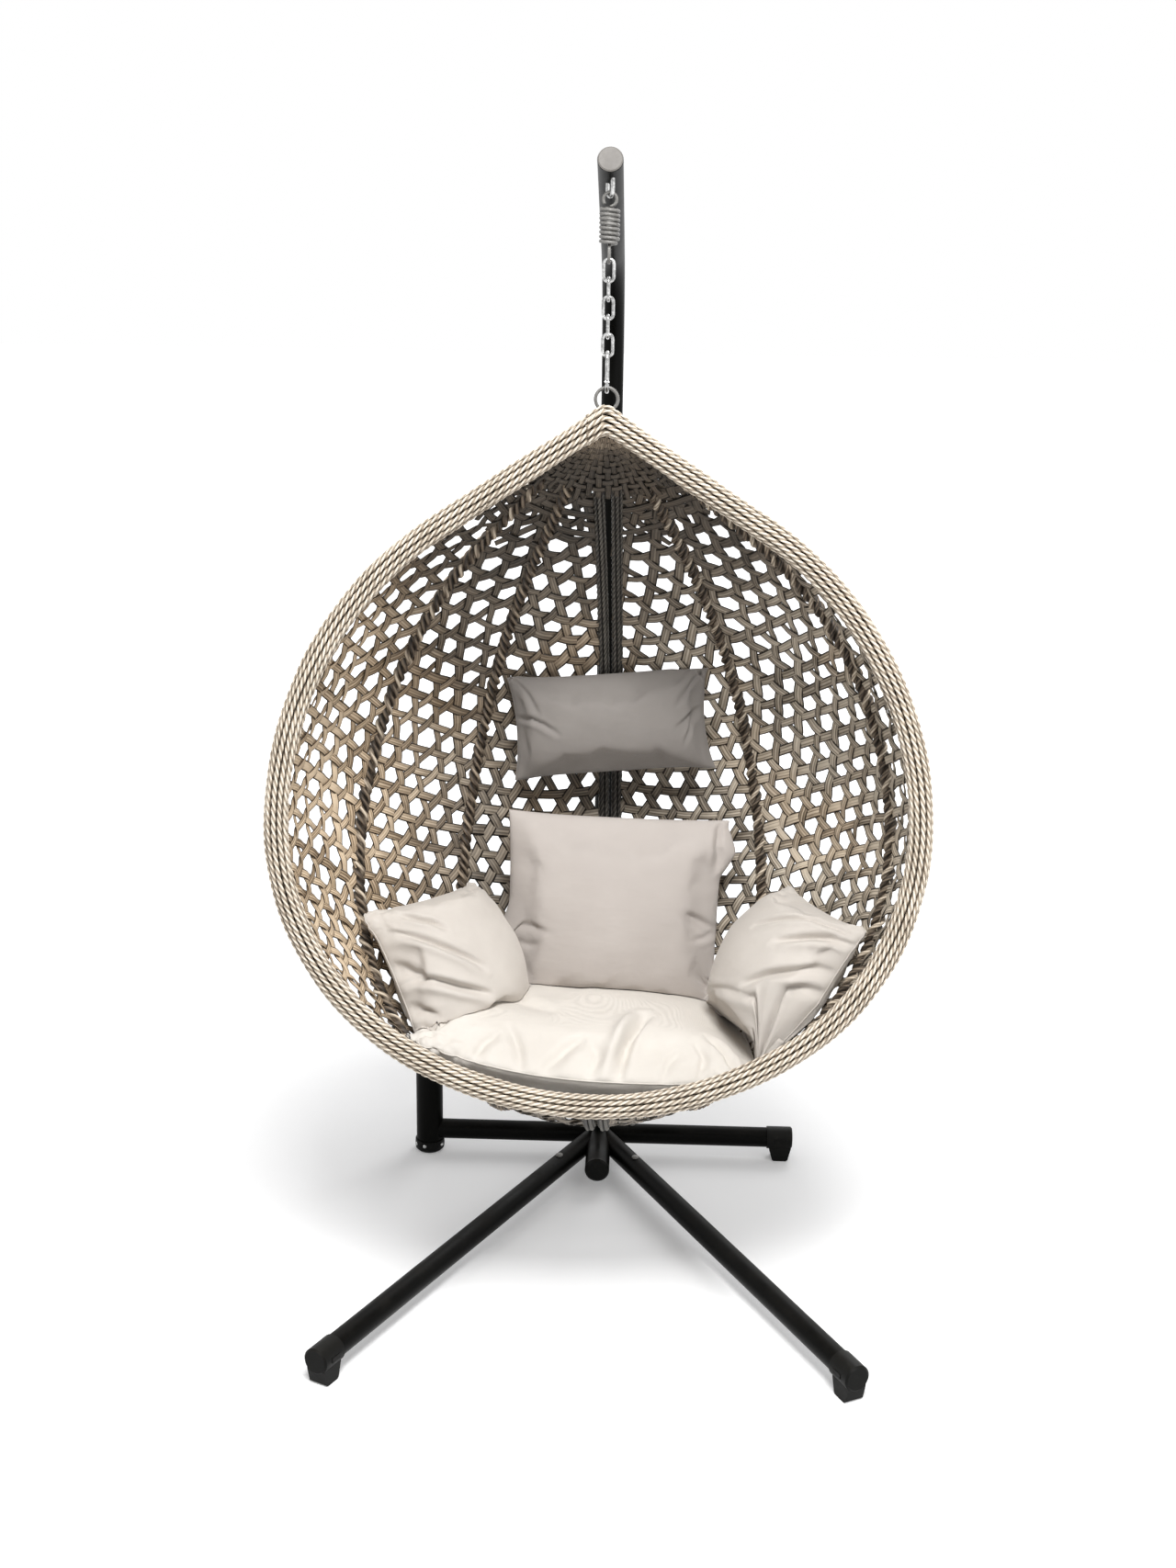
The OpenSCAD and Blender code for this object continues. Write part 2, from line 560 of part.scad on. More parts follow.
// The rim is bent in seven lengths, set end to end with a hair seam between them
seam = 0.03;
module round_rim(d, bore) {
    in_rim_plane() {
        half_rim(d, bore);
        mirror([1, 0, 0]) half_rim(d, bore);
        sill_start = arc_2_sweep + seam_angle(arc_3_r);
        translate([0, arc_3_c, 0]) rotate([0, 0, sill_start])
            rim_arc(arc_3_r, 180 - 2 * sill_start, d, bore);
    }
}
function seam_angle(r) = seam / r * 180 / PI;
module half_rim(d, bore) {
    intersection() {
        translate([0, tip_d, 0]) rotate([0, 0, shoulder_slope]) translate([-60, 0, 0])
            rotate([0, 90, 0]) tube(d, (d - bore) / 2, shoulder_len + 60 - seam);
        translate([seam, -100, -100]) cube([600, 800, 200]);
    }
    translate([rim_a - arc_1_r, rim_wide_at, 0]) rotate([0, 0, -arc_1_sweep])
        rim_arc(arc_1_r, arc_1_sweep - seam_angle(arc_1_r), d, bore);
    translate([rim_a - arc_2_r, rim_wide_at, 0]) rim_arc(arc_2_r, arc_2_sweep, d, bore);
}
module rim_arc(r, sweep, d, bore) {
    rotate_extrude(angle = sweep, $fn = 120) translate([r, 0]) difference() {
        circle(d = d);
        circle(d = bore);
    }
}
module rim_tube() color(steel) round_rim(rim_tube_d, rim_tube_d - 2 * tube_wall);
module rim_rope() color(rope) round_rim(bundle_d, rim_tube_d + 0.2);

// How far a point of the skin is from the rim bundle's axis, and the last share s at which
// a column at b is still that far from it
rim_steps = 220;
rim_line = [for (i = [0:rim_steps]) let(r = rim_at(1.17 * i / rim_steps)) place(r[0], r[1], 0)];
function to_rim(p) = min([for (q = rim_line) norm([abs(p[0]), p[1], p[2]] - q)]);
function foot_s(b, far, s = 0.992) = s < 0.8 || to_rim(skin(b, s)) >= far ? s : foot_s(b, far, s - 0.0015);

// A rib down the skin at b, from a share s0 of its length to where it meets the rope
function spine_spread(s) = (spine_rib_d / 2 + 1.5) * (1 + 0.5 * pow(max(0, 1 - s / 0.4), 2));
module rib(b, d, s0, side = 0) color(rattan) {
    s1 = foot_s(b, bundle_r + d / 2 + 0.2);
    path = [for (i = [0:rib_rings]) let(s = s0 + (s1 - s0) * i / rib_rings)
        skin(b, s) + [side * spine_spread(s), 0, 0]];
    swept(path, d / 2, [1, 0, 0]);
}
module left_outer_rib() rib(left_outer_b, rib_d, 0.062);
module left_inner_rib() rib(left_inner_b, rib_d, 0.076);
module left_spine_rib() rib(spine_b, spine_rib_d, 0.055, -1);
module right_spine_rib() rib(spine_b, spine_rib_d, 0.055, 1);
module right_inner_rib() rib(right_inner_b, rib_d, 0.076);
module right_outer_rib() rib(right_outer_b, rib_d, 0.094);

// A stretch of woven skin between two sides: each is a rib's place, or 0 or 180 for the rim.
// Each keeps clear of the rib or bundle beside it, and its columns end short of the rope.
function per_degree(b, s) = norm(skin(b + 0.5, s) - skin(b - 0.5, s));
function side_b(at, s) = at > 0 && at < 180 ? at
    : abs(at - asin(min(1, (bundle_r + skin_t / 2 + 1) / spine_at(s)[1])));
function side_clear(at, s) = at == 0 || at == 180 ? 0
    : at == spine_b ? (spine_spread(s) + spine_rib_d / 2 + 1.5) / per_degree(at, s)
    : (rib_d / 2 + 2.4) / per_degree(at, s);
module weave(from, to, cols, s0, s1 = 0.99) {
    function along(t, s) = let(b0 = side_b(from, s) + side_clear(from, s),
        b1 = side_b(to, s) - side_clear(to, s)) b0 + (b1 - b0) * t;
    function last(t) = min(s1, foot_s(along(t, 0.94), bundle_r + skin_t / 2 + 1.5));
    grid = [for (i = [0:skin_rows - 1]) for (j = [0:cols - 1])
        let(t = j / (cols - 1), s = s0 + (last(t) - s0) * i / (skin_rows - 1)) [along(t, s), s]];
    outer = [for (g = grid) skin(g[0], g[1]) - skin_normal(g[0], g[1]) * skin_t / 2];
    inner = [for (g = grid) skin(g[0], g[1]) + skin_normal(g[0], g[1]) * skin_t / 2];
    color(rattan) slab(inner, outer, skin_rows, cols);
}
module left_front_weave() weave(0, left_outer_b, 6, 0.075, 0.965);
module left_side_weave() weave(left_outer_b, left_inner_b, 5, 0.078);
module left_back_weave() weave(left_inner_b, spine_b, 6, 0.1);
module right_back_weave() weave(spine_b, right_inner_b, 6, 0.1);
module right_side_weave() weave(right_inner_b, right_outer_b, 6, 0.105);
module right_front_weave() weave(right_outer_b, 180, 4, 0.13, 0.915);

// The close-woven crown that binds the ribs' heads to the lug
crown_t = 24;
crown_s = [0.036, 0.092];
crown_b = [57.5, 122.5];
module crown_wrap() color(rattan) {
    rows = 5;
    cols = 9;
    grid = [for (i = [0:rows - 1]) for (j = [0:cols - 1])
        [crown_b[0] + (crown_b[1] - crown_b[0]) * j / (cols - 1),
         crown_s[0] + (crown_s[1] - crown_s[0]) * i / (rows - 1)]];
    outer = [for (g = grid) skin(g[0], g[1]) - skin_normal(g[0], g[1]) * crown_t / 2];
    inner = [for (g = grid) skin(g[0], g[1]) + skin_normal(g[0], g[1]) * crown_t / 2];
    difference() {
        slab(inner, outer, rows, cols);
        left_inner_rib();
        left_spine_rib();
        right_spine_rib();
        right_inner_rib();
    }
}

// ---------- cushions ----------

// A stuffed square: crowned both ways, its sides drawn in between the corners
module cushion(size, draw_in = 0.07, power = 0.42) {
    n = cushion_grid;
    function edge(u, v) = [size[0] / 2 * u * (1 - draw_in * (1 - v * v) * u * u),
        size[1] / 2 * v * (1 - draw_in * (1 - u * u) * v * v)];
    function swell(u, v) = pow(max(0, (1 - u * u) * (1 - v * v)), power);
    // Grid lines crowd towards the seam, where the crown turns fastest
    function line(i) = let(t = 2 * i / n - 1) sin(90 * t);
    grid = [for (i = [0:n]) for (j = [0:n]) [line(j), line(i)]];
    w = n + 1;
    top = [for (g = grid) let(e = edge(g[0], g[1])) [e[0], e[1], size[2] * swell(g[0], g[1])]];
    low = [for (i = [1:n - 1]) for (j = [1:n - 1]) let(g = grid[i * w + j], e = edge(g[0], g[1]))
        [e[0], e[1], -size[3] * swell(g[0], g[1])]];
    function low_at(i, j) = i == 0 || j == 0 || i == n || j == n ? i * w + j
        : w * w + (i - 1) * (n - 1) + j - 1;
    faces = concat(
        [for (i = [0:n - 1]) for (j = [0:n - 1]) each [
            [i * w + j, (i + 1) * w + j, (i + 1) * w + j + 1],
            [i * w + j, (i + 1) * w + j + 1, i * w + j + 1]]],
        [for (i = [0:n - 1]) for (j = [0:n - 1]) each [
            [low_at(i, j), low_at(i + 1, j + 1), low_at(i + 1, j)],
            [low_at(i, j), low_at(i, j + 1), low_at(i + 1, j + 1)]]]
    );
    polyhedron(concat(top, low), faces, convexity = 4);
}

// The room inside the basket, clear of the ribs and the skin, and open ahead of the rim
room_clear = 13;
room_cols = 12;
room_rows = 14;
room_front = -160;
room_s0 = 0.12;
room_s1 = 0.965;
function rim_inner(s, side, n) = let(r = rim_at(s), t = unit(rim_at(s + 0.004) - rim_at(s - 0.004)),
    q = r + [-t[1], t[0]] * (bundle_r + 1)) place(side * q[0], q[1], n);
function room_row(s) = let(b0 = asin((bundle_r + room_clear) / spine_at(s)[1])) concat(
    [rim_inner(s, -1, room_front), rim_inner(s, -1, 0)],
    [for (j = [0:room_cols]) let(b = b0 + (180 - 2 * b0) * j / room_cols)
        skin(b, s) + skin_normal(b, s) * room_clear],
    [rim_inner(s, 1, 0), rim_inner(s, 1, room_front)]
);
module room() {
    w = room_cols + 5;
    points = [for (i = [0:room_rows]) each room_row(room_s0 + (room_s1 - room_s0) * i / room_rows)];
    last = room_rows * w;
    polyhedron(points, concat(
        [for (i = [0:room_rows - 1]) for (j = [0:w - 1]) let(a = i * w + j, b = i * w + (j + 1) % w)
            each [[a, a + w, b + w], [a, b + w, b]]],
        [[for (j = [0:w - 1]) j]],
        [[for (j = [0:w - 1]) last + w - 1 - j]]
    ), convexity = 6);
}

grown = 0.8;
module seat_place() translate([-10, hub_y - 496, 468]) rotate([0, 2, -2]) children();
module back_place() translate([26, hub_y - 322, 626]) rotate([78, 1.5, 0]) children();
module head_place() translate([13, hub_y - 228, 962]) rotate([86, 0, 0]) rotate([0, 0, 5]) children();
module left_arm_place() translate([-254, hub_y - 462, 580]) rotate([0, 0, 54]) rotate([56, 0, 0])
    rotate([0, 0, -3]) children();
module right_arm_place() translate([318, hub_y - 522, 606]) rotate([0, 0, -68]) rotate([56, 0, 0])
    rotate([0, 0, 2]) children();
module grown_seat() seat_place() cushion(seat_size + [1, 1, 0.5, 0.5] * grown);
module grown_back() back_place() cushion(back_size + [1, 1, 0.5, 0.5] * grown);

module seat_cushion() color(cloth) intersection() {
    seat_place() cushion(seat_size);
    room();
}
module back_cushion() color(cloth) difference() {
    intersection() {
        back_place() cushion(back_size);
        room();
    }
    grown_seat();
}
module headrest() color(cloth) intersection() {
    head_place() cushion(head_size);
    room();
}
module left_arm_cushion() color(cloth) difference() {
    intersection() {
        left_arm_place() cushion(arm_size);
        room();
    }
    grown_seat();
    grown_back();
}
module right_arm_cushion() color(cloth) difference() {
    intersection() {
        right_arm_place() cushion(arm_size);
        room();
    }
    grown_seat();
    grown_back();
}

base_hub();
hub_front_cap();
left_rear_arm();
right_rear_arm();
left_front_leg();
right_front_leg();
left_front_foot();
right_front_foot();
rear_foot();
left_upright();
upright_plug();
upright_screws();
base_bolts();
lower_pole();
upper_pole();
pole_bolts();
arm_end_cap();
arm_eye();
spring();
chain_link_1();
chain_link_2();
chain_link_3();
chain_link_4();
chain_link_5();
snap_hook();
gate_pin();
snap_gate();
hanging_ring();
rim_tube();
rim_rope();
crown_wrap();
left_outer_rib();
left_inner_rib();
left_spine_rib();
right_spine_rib();
right_inner_rib();
right_outer_rib();
left_front_weave();
left_side_weave();
left_back_weave();
right_back_weave();
right_side_weave();
right_front_weave();
seat_cushion();
back_cushion();
headrest();
left_arm_cushion();
right_arm_cushion();
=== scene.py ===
import json
import math

import bpy
import numpy as np
from mathutils import Matrix, Vector
from mathutils.bvhtree import BVHTree
from mathutils.noise import noise as noise_at


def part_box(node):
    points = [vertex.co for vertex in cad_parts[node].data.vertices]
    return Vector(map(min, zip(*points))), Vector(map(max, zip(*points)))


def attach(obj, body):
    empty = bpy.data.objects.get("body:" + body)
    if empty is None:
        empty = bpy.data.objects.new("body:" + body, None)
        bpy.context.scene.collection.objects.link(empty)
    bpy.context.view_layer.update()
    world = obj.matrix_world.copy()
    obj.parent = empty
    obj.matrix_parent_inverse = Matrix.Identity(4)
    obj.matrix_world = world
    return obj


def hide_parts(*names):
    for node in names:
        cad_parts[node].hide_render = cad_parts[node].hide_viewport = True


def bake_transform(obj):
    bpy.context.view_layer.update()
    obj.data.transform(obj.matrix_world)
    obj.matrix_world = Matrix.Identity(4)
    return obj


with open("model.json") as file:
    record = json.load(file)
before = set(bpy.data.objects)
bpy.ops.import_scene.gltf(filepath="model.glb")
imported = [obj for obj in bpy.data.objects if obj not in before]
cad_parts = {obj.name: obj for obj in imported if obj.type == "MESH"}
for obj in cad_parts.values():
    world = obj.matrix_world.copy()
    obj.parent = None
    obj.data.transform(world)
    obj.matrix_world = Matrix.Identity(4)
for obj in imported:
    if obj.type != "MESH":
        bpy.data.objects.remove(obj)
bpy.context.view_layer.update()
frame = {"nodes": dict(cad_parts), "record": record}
scene = bpy.context.scene
nodes = frame["nodes"]

# ---------------------------------------------------------------- camera
# A standing adult's view: eye 1.7 m up, about 3 m ahead of the seat, tipped
# down 15 degrees, with a hair of turn and roll from a hand-held camera.
camera = bpy.data.objects.new("camera", bpy.data.cameras.new("camera"))
scene.collection.objects.link(camera)
camera.data.lens = 41.09
camera.data.sensor_width = 36
camera.data.clip_end = 200
camera.matrix_world = (Matrix.Translation((0.0608, -2.9453, 1.6887))
                       @ Matrix.Rotation(0.0281, 4, "Z")
                       @ Matrix.Rotation(math.pi / 2 - 0.26281, 4, "X")
                       @ Matrix.Rotation(0.0152, 4, "Z"))
scene.camera = camera
scene.view_settings.view_transform = "Standard"


# ---------------------------------------------------------------- studio
# A white sweep: a broad lamp up and ahead, a weaker one to the right and one
# behind, an even sky, and a floor that is white where no shadow falls on it.
class Wire:
    """An output socket. Arithmetic on it adds Math nodes; node() adds any other."""

    def __init__(self, tree, socket=None):
        self.tree, self.socket = tree, socket

    def node(self, kind, settings=None, sockets=None, out=0):
        made = self.tree.nodes.new("ShaderNode" + kind)
        for name, value in (settings or {}).items():
            if name == "stops":
                stops = made.color_ramp.elements
                while len(stops) < len(value):
                    stops.new(1.0)
                for stop, (place, tone) in zip(stops, value):
                    stop.position, stop.color = place, (*tone, 1.0)
            else:
                setattr(made, name, value)
        for name, value in (sockets or {}).items():
            goal = (made.inputs[name] if isinstance(name, int)
                    else next(s for s in made.inputs if s.name == name and s.enabled))
            if isinstance(value, Wire):
                self.tree.links.new(value.socket, goal)
            else:
                goal.default_value = (*value, 1.0) if goal.type == "RGBA" and len(value) == 3 else value
        shown = [s for s in made.outputs if s.enabled]
        return Wire(self.tree, shown[out] if isinstance(out, int)
                    else next(s for s in shown if s.name == out))

    def math(self, operation, *values, clamp=False):
        return self.node("Math", {"operation": operation, "use_clamp": clamp}, dict(enumerate(values)))

    def __add__(self, other):
        return self.math("ADD", self, other)

    def __mul__(self, other):
        return self.math("MULTIPLY", self, other)

    def __sub__(self, other):
        return self.math("SUBTRACT", self, other)

    def __rsub__(self, other):
        return self.math("SUBTRACT", other, self)

    def __truediv__(self, other):
        return self.math("DIVIDE", self, other)

    __radd__ = __add__
    __rmul__ = __mul__

    def beside(self, name):
        """Another output of the node that this one belongs to."""
        return Wire(self.tree, self.socket.node.outputs[name])

    def clamped(self):
        return self.math("ADD", self, 0.0, clamp=True)

    def steep(self, low, high):
        """0 below low, 1 above high, smooth between."""
        return self.node("MapRange", {"interpolation_type": "SMOOTHSTEP"},
                         {"Value": self, "From Min": low, "From Max": high})

    def mixed(self, below, above):
        """The colour below where this mask is 0 and above where it is 1."""
        return self.node("Mix", {"data_type": "RGBA"}, {"Factor": self, "A": below, "B": above})


def seen(tree):
    """1 for camera, glossy and transmission rays, 0 for the light itself."""
    path = tree.nodes.new("ShaderNodeLightPath")
    rays = [Wire(tree, path.outputs[n]) for n in
            ("Is Camera Ray", "Is Glossy Ray", "Is Transmission Ray")]
    return (rays[0] + rays[1] + rays[2]).clamped()


def finish(name, roughness=0.5, metallic=0.0, **constants):
    """A material with one Principled shader; returns it, its shader and a wire to build on."""
    made = bpy.data.materials.new(name)
    made.use_nodes = True
    principled = made.node_tree.nodes["Principled BSDF"]
    principled.inputs["Roughness"].default_value = roughness
    principled.inputs["Metallic"].default_value = metallic
    for key, value in constants.items():
        principled.inputs[key.replace("_", " ")].default_value = value
    return made, principled, Wire(made.node_tree)


def feed(principled, **links):
    for key, value in links.items():
        value.tree.links.new(value.socket, principled.inputs[key.replace("_", " ")])


def object_place(wire):
    return wire.node("TexCoord", out="Object")


sky_light, sky_shown = (0.43, 0.43, 0.435), (1.0, 1.0, 1.0)
world = bpy.data.worlds.new("sky")
scene.world = world
world.use_nodes = True
tree = world.node_tree
tree.links.new(seen(tree).mixed(sky_light, sky_shown).socket, tree.nodes["Background"].inputs["Color"])

for name, place, aim, size, watts in (
        ("key_lamp", (0.3, -2.7, 4.5), (0, 0, 0.9), 1.4, 242),
        ("fill_lamp", (3.2, -3.0, 2.4), (0, 0, 0.9), 2.4, 30),
        ("rim_lamp", (1.5, 3.6, 3.4), (0, 0, 1.0), 2.4, 60)):
    lamp = bpy.data.objects.new(name, bpy.data.lights.new(name, "AREA"))
    lamp.data.size, lamp.data.energy = size, watts
    lamp.location = place
    lamp.rotation_euler = (Vector(aim) - Vector(place)).to_track_quat("-Z", "Y").to_euler()
    scene.collection.objects.link(lamp)

FLOOR_HALF, GLOW_NEAR, GLOW_FROM, GLOW_TO = 60, 0.2, 0.7, 4.5
corners = [(x * FLOOR_HALF, y * FLOOR_HALF, 0) for x, y in ((-1, -1), (1, -1), (1, 1), (-1, 1))]
floor_mesh = bpy.data.meshes.new("floor")
floor_mesh.from_pydata(corners, [], [(0, 1, 2, 3)])
floor = bpy.data.objects.new("floor", floor_mesh)
scene.collection.objects.link(floor)
floor_finish, shader, wire = finish("studio floor", roughness=0.9, Base_Color=(0.86, 0.86, 0.86, 1),
                                    Specular_IOR_Level=0.0, Emission_Strength=1.0)
away = wire.node("VectorMath", {"operation": "DISTANCE"}, {0: object_place(wire), 1: (0, 0, 0)}, out="Value")
glow = away.steep(GLOW_FROM, GLOW_TO) * (1 - GLOW_NEAR) + GLOW_NEAR
feed(shader, Emission_Color=seen(wire.tree) * glow)
floor_mesh.materials.append(floor_finish)


# ---------------------------------------------------------------- stand: black tubes
# Mild steel tube, bent and welded, then powder coated black in one go. The coat
# has a fine orange peel and holds dust on its upper side.
def bump(wire, height, distance, strength):
    return wire.node("Bump", {}, {"Height": height, "Distance": distance, "Strength": strength}, out="Normal")


def noise(wire, where, scale, detail):
    return wire.node("TexNoise", {}, {"Vector": where, "Scale": scale, "Detail": detail,
                                      "Roughness": 0.55}, out="Fac")


def facing_up(wire, low):
    """0 where a face looks no more than this share upwards, 1 where it looks straight up."""
    normal = wire.node("NewGeometry", out="Normal")
    return wire.node("SeparateXYZ", {}, {"Vector": normal}, out="Z").steep(low, 1.0)


black_steel, shader, wire = finish("black powder coat", IOR=1.14)
spot = object_place(wire)
peel = noise(wire, spot, 900, 2)
cloud = noise(wire, spot, 14, 4)
dust = (facing_up(wire, 0.35) * cloud.steep(0.35, 0.75)).clamped()
feed(shader,
     Base_Color=dust.mixed((0.0024, 0.0024, 0.002), (0.011, 0.010, 0.0085)),
     Roughness=0.30 + cloud * 0.14 + dust * 0.2,
     Normal=bump(wire, peel + noise(wire, spot, 220, 2) * 0.6, 0.00012, 0.5))

# ---------------------------------------------------------------- stand: plastics
# Injection moulded polypropylene: black feet, hub cap and plug with a fine
# spark-eroded grain, and a plain mid-grey cap pressed into the arm's end.
black_plastic, shader, wire = finish("moulded black plastic", IOR=1.2)
spot = object_place(wire)
grain = noise(wire, spot, 1600, 2)
scuff = noise(wire, spot, 55, 5).steep(0.52, 0.78)
worn = (scuff * 0.5 + facing_up(wire, 0.1) * 0.4).clamped()
feed(shader,
     Base_Color=worn.mixed((0.0035, 0.0035, 0.003), (0.017, 0.016, 0.014)),
     Roughness=0.46 + scuff * 0.2,
     Normal=bump(wire, grain, 0.00015, 0.6))

grey_plastic, shader, wire = finish("moulded grey plastic", Specular_IOR_Level=0.4)
spot = object_place(wire)
feed(shader,
     Base_Color=noise(wire, spot, 40, 4).steep(0.3, 0.75).mixed((0.145, 0.135, 0.124), (0.19, 0.178, 0.165)),
     Roughness=0.5 + noise(wire, spot, 90, 3) * 0.15,
     Normal=bump(wire, noise(wire, spot, 1500, 2), 0.00015, 0.6))

# ---------------------------------------------------------------- chain, hook and bolts
# Drawn steel rod, bent, butt welded and bright zinc plated: links, snap hook and
# eye. The spring, the ring and the bolts have a duller grey coat.
bright_zinc, shader, wire = finish("bright zinc plate", metallic=1.0)
spot = object_place(wire)
patch = noise(wire, spot, 180, 4)
feed(shader,
     Base_Color=patch.steep(0.35, 0.7).mixed((0.30, 0.30, 0.295), (0.66, 0.66, 0.655)),
     Roughness=0.14 + patch * 0.2,
     Normal=bump(wire, noise(wire, spot, 700, 2), 0.0001, 0.4))

wear_grey, shader, wire = finish("grey coated wire", metallic=0.25)
spot = object_place(wire)
rub = noise(wire, spot, 260, 4)
feed(shader,
     Base_Color=rub.steep(0.35, 0.7).mixed((0.15, 0.145, 0.135), (0.23, 0.225, 0.215)),
     Roughness=0.42 + rub * 0.15,
     Normal=bump(wire, noise(wire, spot, 900, 2), 0.00005, 0.3))

by_slot = {"black_steel": black_steel, "black_plastic": black_plastic, "grey_plastic": grey_plastic,
           "bright_zinc": bright_zinc, "spring_steel": wear_grey}
dull_nodes = ("base_bolts", "pole_bolts", "hanging_ring")
for row in frame["record"]["subparts"]:
    plain = by_slot.get(row["material_slot"], black_steel)
    materials = nodes[row["node"]].data.materials
    materials.clear()
    materials.append(wear_grey if row["node"] in dull_nodes else plain)


# ---------------------------------------------------------------- spring
# One length of spring wire: a loop across at the top, eight close curls, and a
# loop fore and aft at the foot, so that it hangs in the eye and takes the chain.
APART = 10.0


def skein(name, strands, material, starts=None):
    """One mesh from strands of rings, each (rings, points a ring, 3) in metres.

    The map "along" holds the share round a ring and the metres along its strand, counted
    from that strand's entry in starts, or else from its number times APART."""
    points, quads, ends, uvs = [], [], [], []
    start = 0
    for number, rings in enumerate(strands):
        rows, around = rings.shape[:2]
        points.append(rings.reshape(-1, 3))
        i, k = np.meshgrid(np.arange(rows - 1), np.arange(around), indexing="ij")
        after = (k + 1) % around
        quads.append(np.stack([i * around + k, i * around + after,
                               (i + 1) * around + after, (i + 1) * around + k], -1).reshape(-1, 4) + start)
        middle = rings.mean(1)
        run = np.concatenate([[0], np.cumsum(np.linalg.norm(np.diff(middle, axis=0), axis=1))])
        run += number * APART if starts is None else starts[number]
        uvs.append(np.stack([np.stack([k, k + 1, k + 1, k], -1) / around,
                             np.stack([run[i], run[i], run[i + 1], run[i + 1]], -1)], -1).reshape(-1, 2))
        ends += [np.arange(around)[::-1] + start, np.arange(around) + start + (rows - 1) * around]
        start += rows * around
    points, quads, uvs, caps = (np.concatenate(part) for part in (points, quads, uvs, ends))
    mesh = bpy.data.meshes.new(name)
    mesh.vertices.add(len(points))
    mesh.vertices.foreach_set("co", points.astype(np.float32).ravel())
    loops = np.concatenate([quads.ravel(), caps])
    sizes = np.concatenate([np.full(len(quads), 4), [len(e) for e in ends]]).astype(int)
    mesh.loops.add(len(loops))
    mesh.loops.foreach_set("vertex_index", loops.astype(np.int32))
    mesh.polygons.add(len(sizes))
    mesh.polygons.foreach_set("loop_start", (np.cumsum(sizes) - sizes).astype(np.int32))
    mesh.polygons.foreach_set("use_smooth", np.arange(len(sizes)) < len(quads))
    layer = mesh.uv_layers.new(name="along")
    layer.data.foreach_set("uv", np.concatenate([uvs.ravel(), np.zeros(2 * len(caps))]).astype(np.float32))
    mesh.update(calc_edges=True)
    mesh.validate()
    mesh.materials.append(material)
    piece = bpy.data.objects.new(name, mesh)
    scene.collection.objects.link(piece)
    return piece


def unit(v):
    return v / np.maximum(np.linalg.norm(v, axis=-1, keepdims=True), 1e-12)


def swept(line, radius, around, up):
    """Rings of a round tube along a line, with its frame carried along."""
    along = unit(np.gradient(line, axis=0))
    side = unit(np.cross(along[0], up))
    rings = []
    angles = np.arange(around) * 2 * math.pi / around
    for p, t in zip(line, along):
        side = unit(side - t * (side @ t))
        other = np.cross(t, side)
        rings.append(p + radius * (np.outer(np.cos(angles), side) + np.outer(np.sin(angles), other)))
    return np.array(rings)


hang_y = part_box("chain_link_1")[0].y / 2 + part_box("chain_link_1")[1].y / 2
_, spring_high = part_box("spring")
wire_r, coil_r, top_loop_r, foot_loop_r = 0.0025, 0.014, 0.0105, 0.0135
curls, pitch = 8, 0.0068
# Turns in degrees: a whole, a half and a quarter one, and how far each loop goes round.
whole, half, quarter, loop_turn = 360, 180, 90, 310
top_loop_z = spring_high.z - wire_r - top_loop_r
coil_top = top_loop_z - top_loop_r
coil_low = coil_top - pitch * (curls + quarter / whole)
foot_loop_z = coil_low - foot_loop_r
turns = np.arange(0, whole * curls + quarter + 0.1, 9.0)
swell = np.where(turns < half, np.sin(np.radians(np.minimum(turns, half) / 2)), 1.0)
left = whole * curls + quarter - turns
swell = np.where(left < half, np.sin(np.radians(np.minimum(left, half) / 2)), swell)
top = np.radians(quarter + loop_turn - np.arange(0, loop_turn, 10.0) + half)
foot = np.radians(quarter + np.arange(10, loop_turn + 0.1, 10.0))
spring_line = np.concatenate([
    np.stack([top_loop_r * np.cos(top), 0 * top, top_loop_z + top_loop_r * np.sin(top)], -1),
    np.stack([coil_r * swell * np.cos(np.radians(turns)), coil_r * swell * np.sin(np.radians(turns)),
              coil_top - pitch * turns / whole], -1),
    np.stack([0 * foot, foot_loop_r * np.cos(foot), foot_loop_z + foot_loop_r * np.sin(foot)], -1)])
for _ in range(3):
    spring_line[1:-1] = (spring_line[:-2] + 2 * spring_line[1:-1] + spring_line[2:]) / 4
spring_line[:, 1] += hang_y
spring = skein("spring_wire", [swept(spring_line, wire_r, 12, (0, 1, 0.1))], wear_grey)
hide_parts("spring")
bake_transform(spring)

# ---------------------------------------------------------------- basket: the egg's surface
# The rim is a teardrop in a leaning plane, each half a straight shoulder and three
# arcs; behind it the spine's line sets the depth, and the ribs lie between.
LEAN = math.radians(12.4)
BASKET_W, RIM_LEN, WIDE_AT, SLOPE = 1052, 1124, 659, math.radians(33.6)
BUNDLE_R, DEPTH, SILL_HALF = 20, 530, 230
TIP_AHEAD, TIP_Z, UPPER_R, SIDE_R = 50, 1540, 575, 440
rim_tip = np.array([0, hang_y * 1000 - TIP_AHEAD, TIP_Z])
a_r, b_r = BASKET_W / 2 - BUNDLE_R, RIM_LEN - BUNDLE_R - WIDE_AT
r1, r2 = UPPER_R - BUNDLE_R, SIDE_R - BUNDLE_R
r3 = ((a_r - r2) ** 2 + b_r ** 2 - r2 ** 2) / (2 * (b_r - r2))
sweep1 = math.pi / 2 - SLOPE
sweep2 = math.atan2(r3 - b_r, a_r - r2)
sweep3 = math.pi / 2 - sweep2
shoulder = (a_r - r1 * (1 - math.cos(sweep1)), WIDE_AT - r1 * math.sin(sweep1))
tip_d = shoulder[1] - shoulder[0] * math.tan(SLOPE)
shoulder_len = shoulder[0] / math.cos(SLOPE)
arc3_c = WIDE_AT + b_r - r3
used3 = sweep3 - math.asin(SILL_HALF / r3)
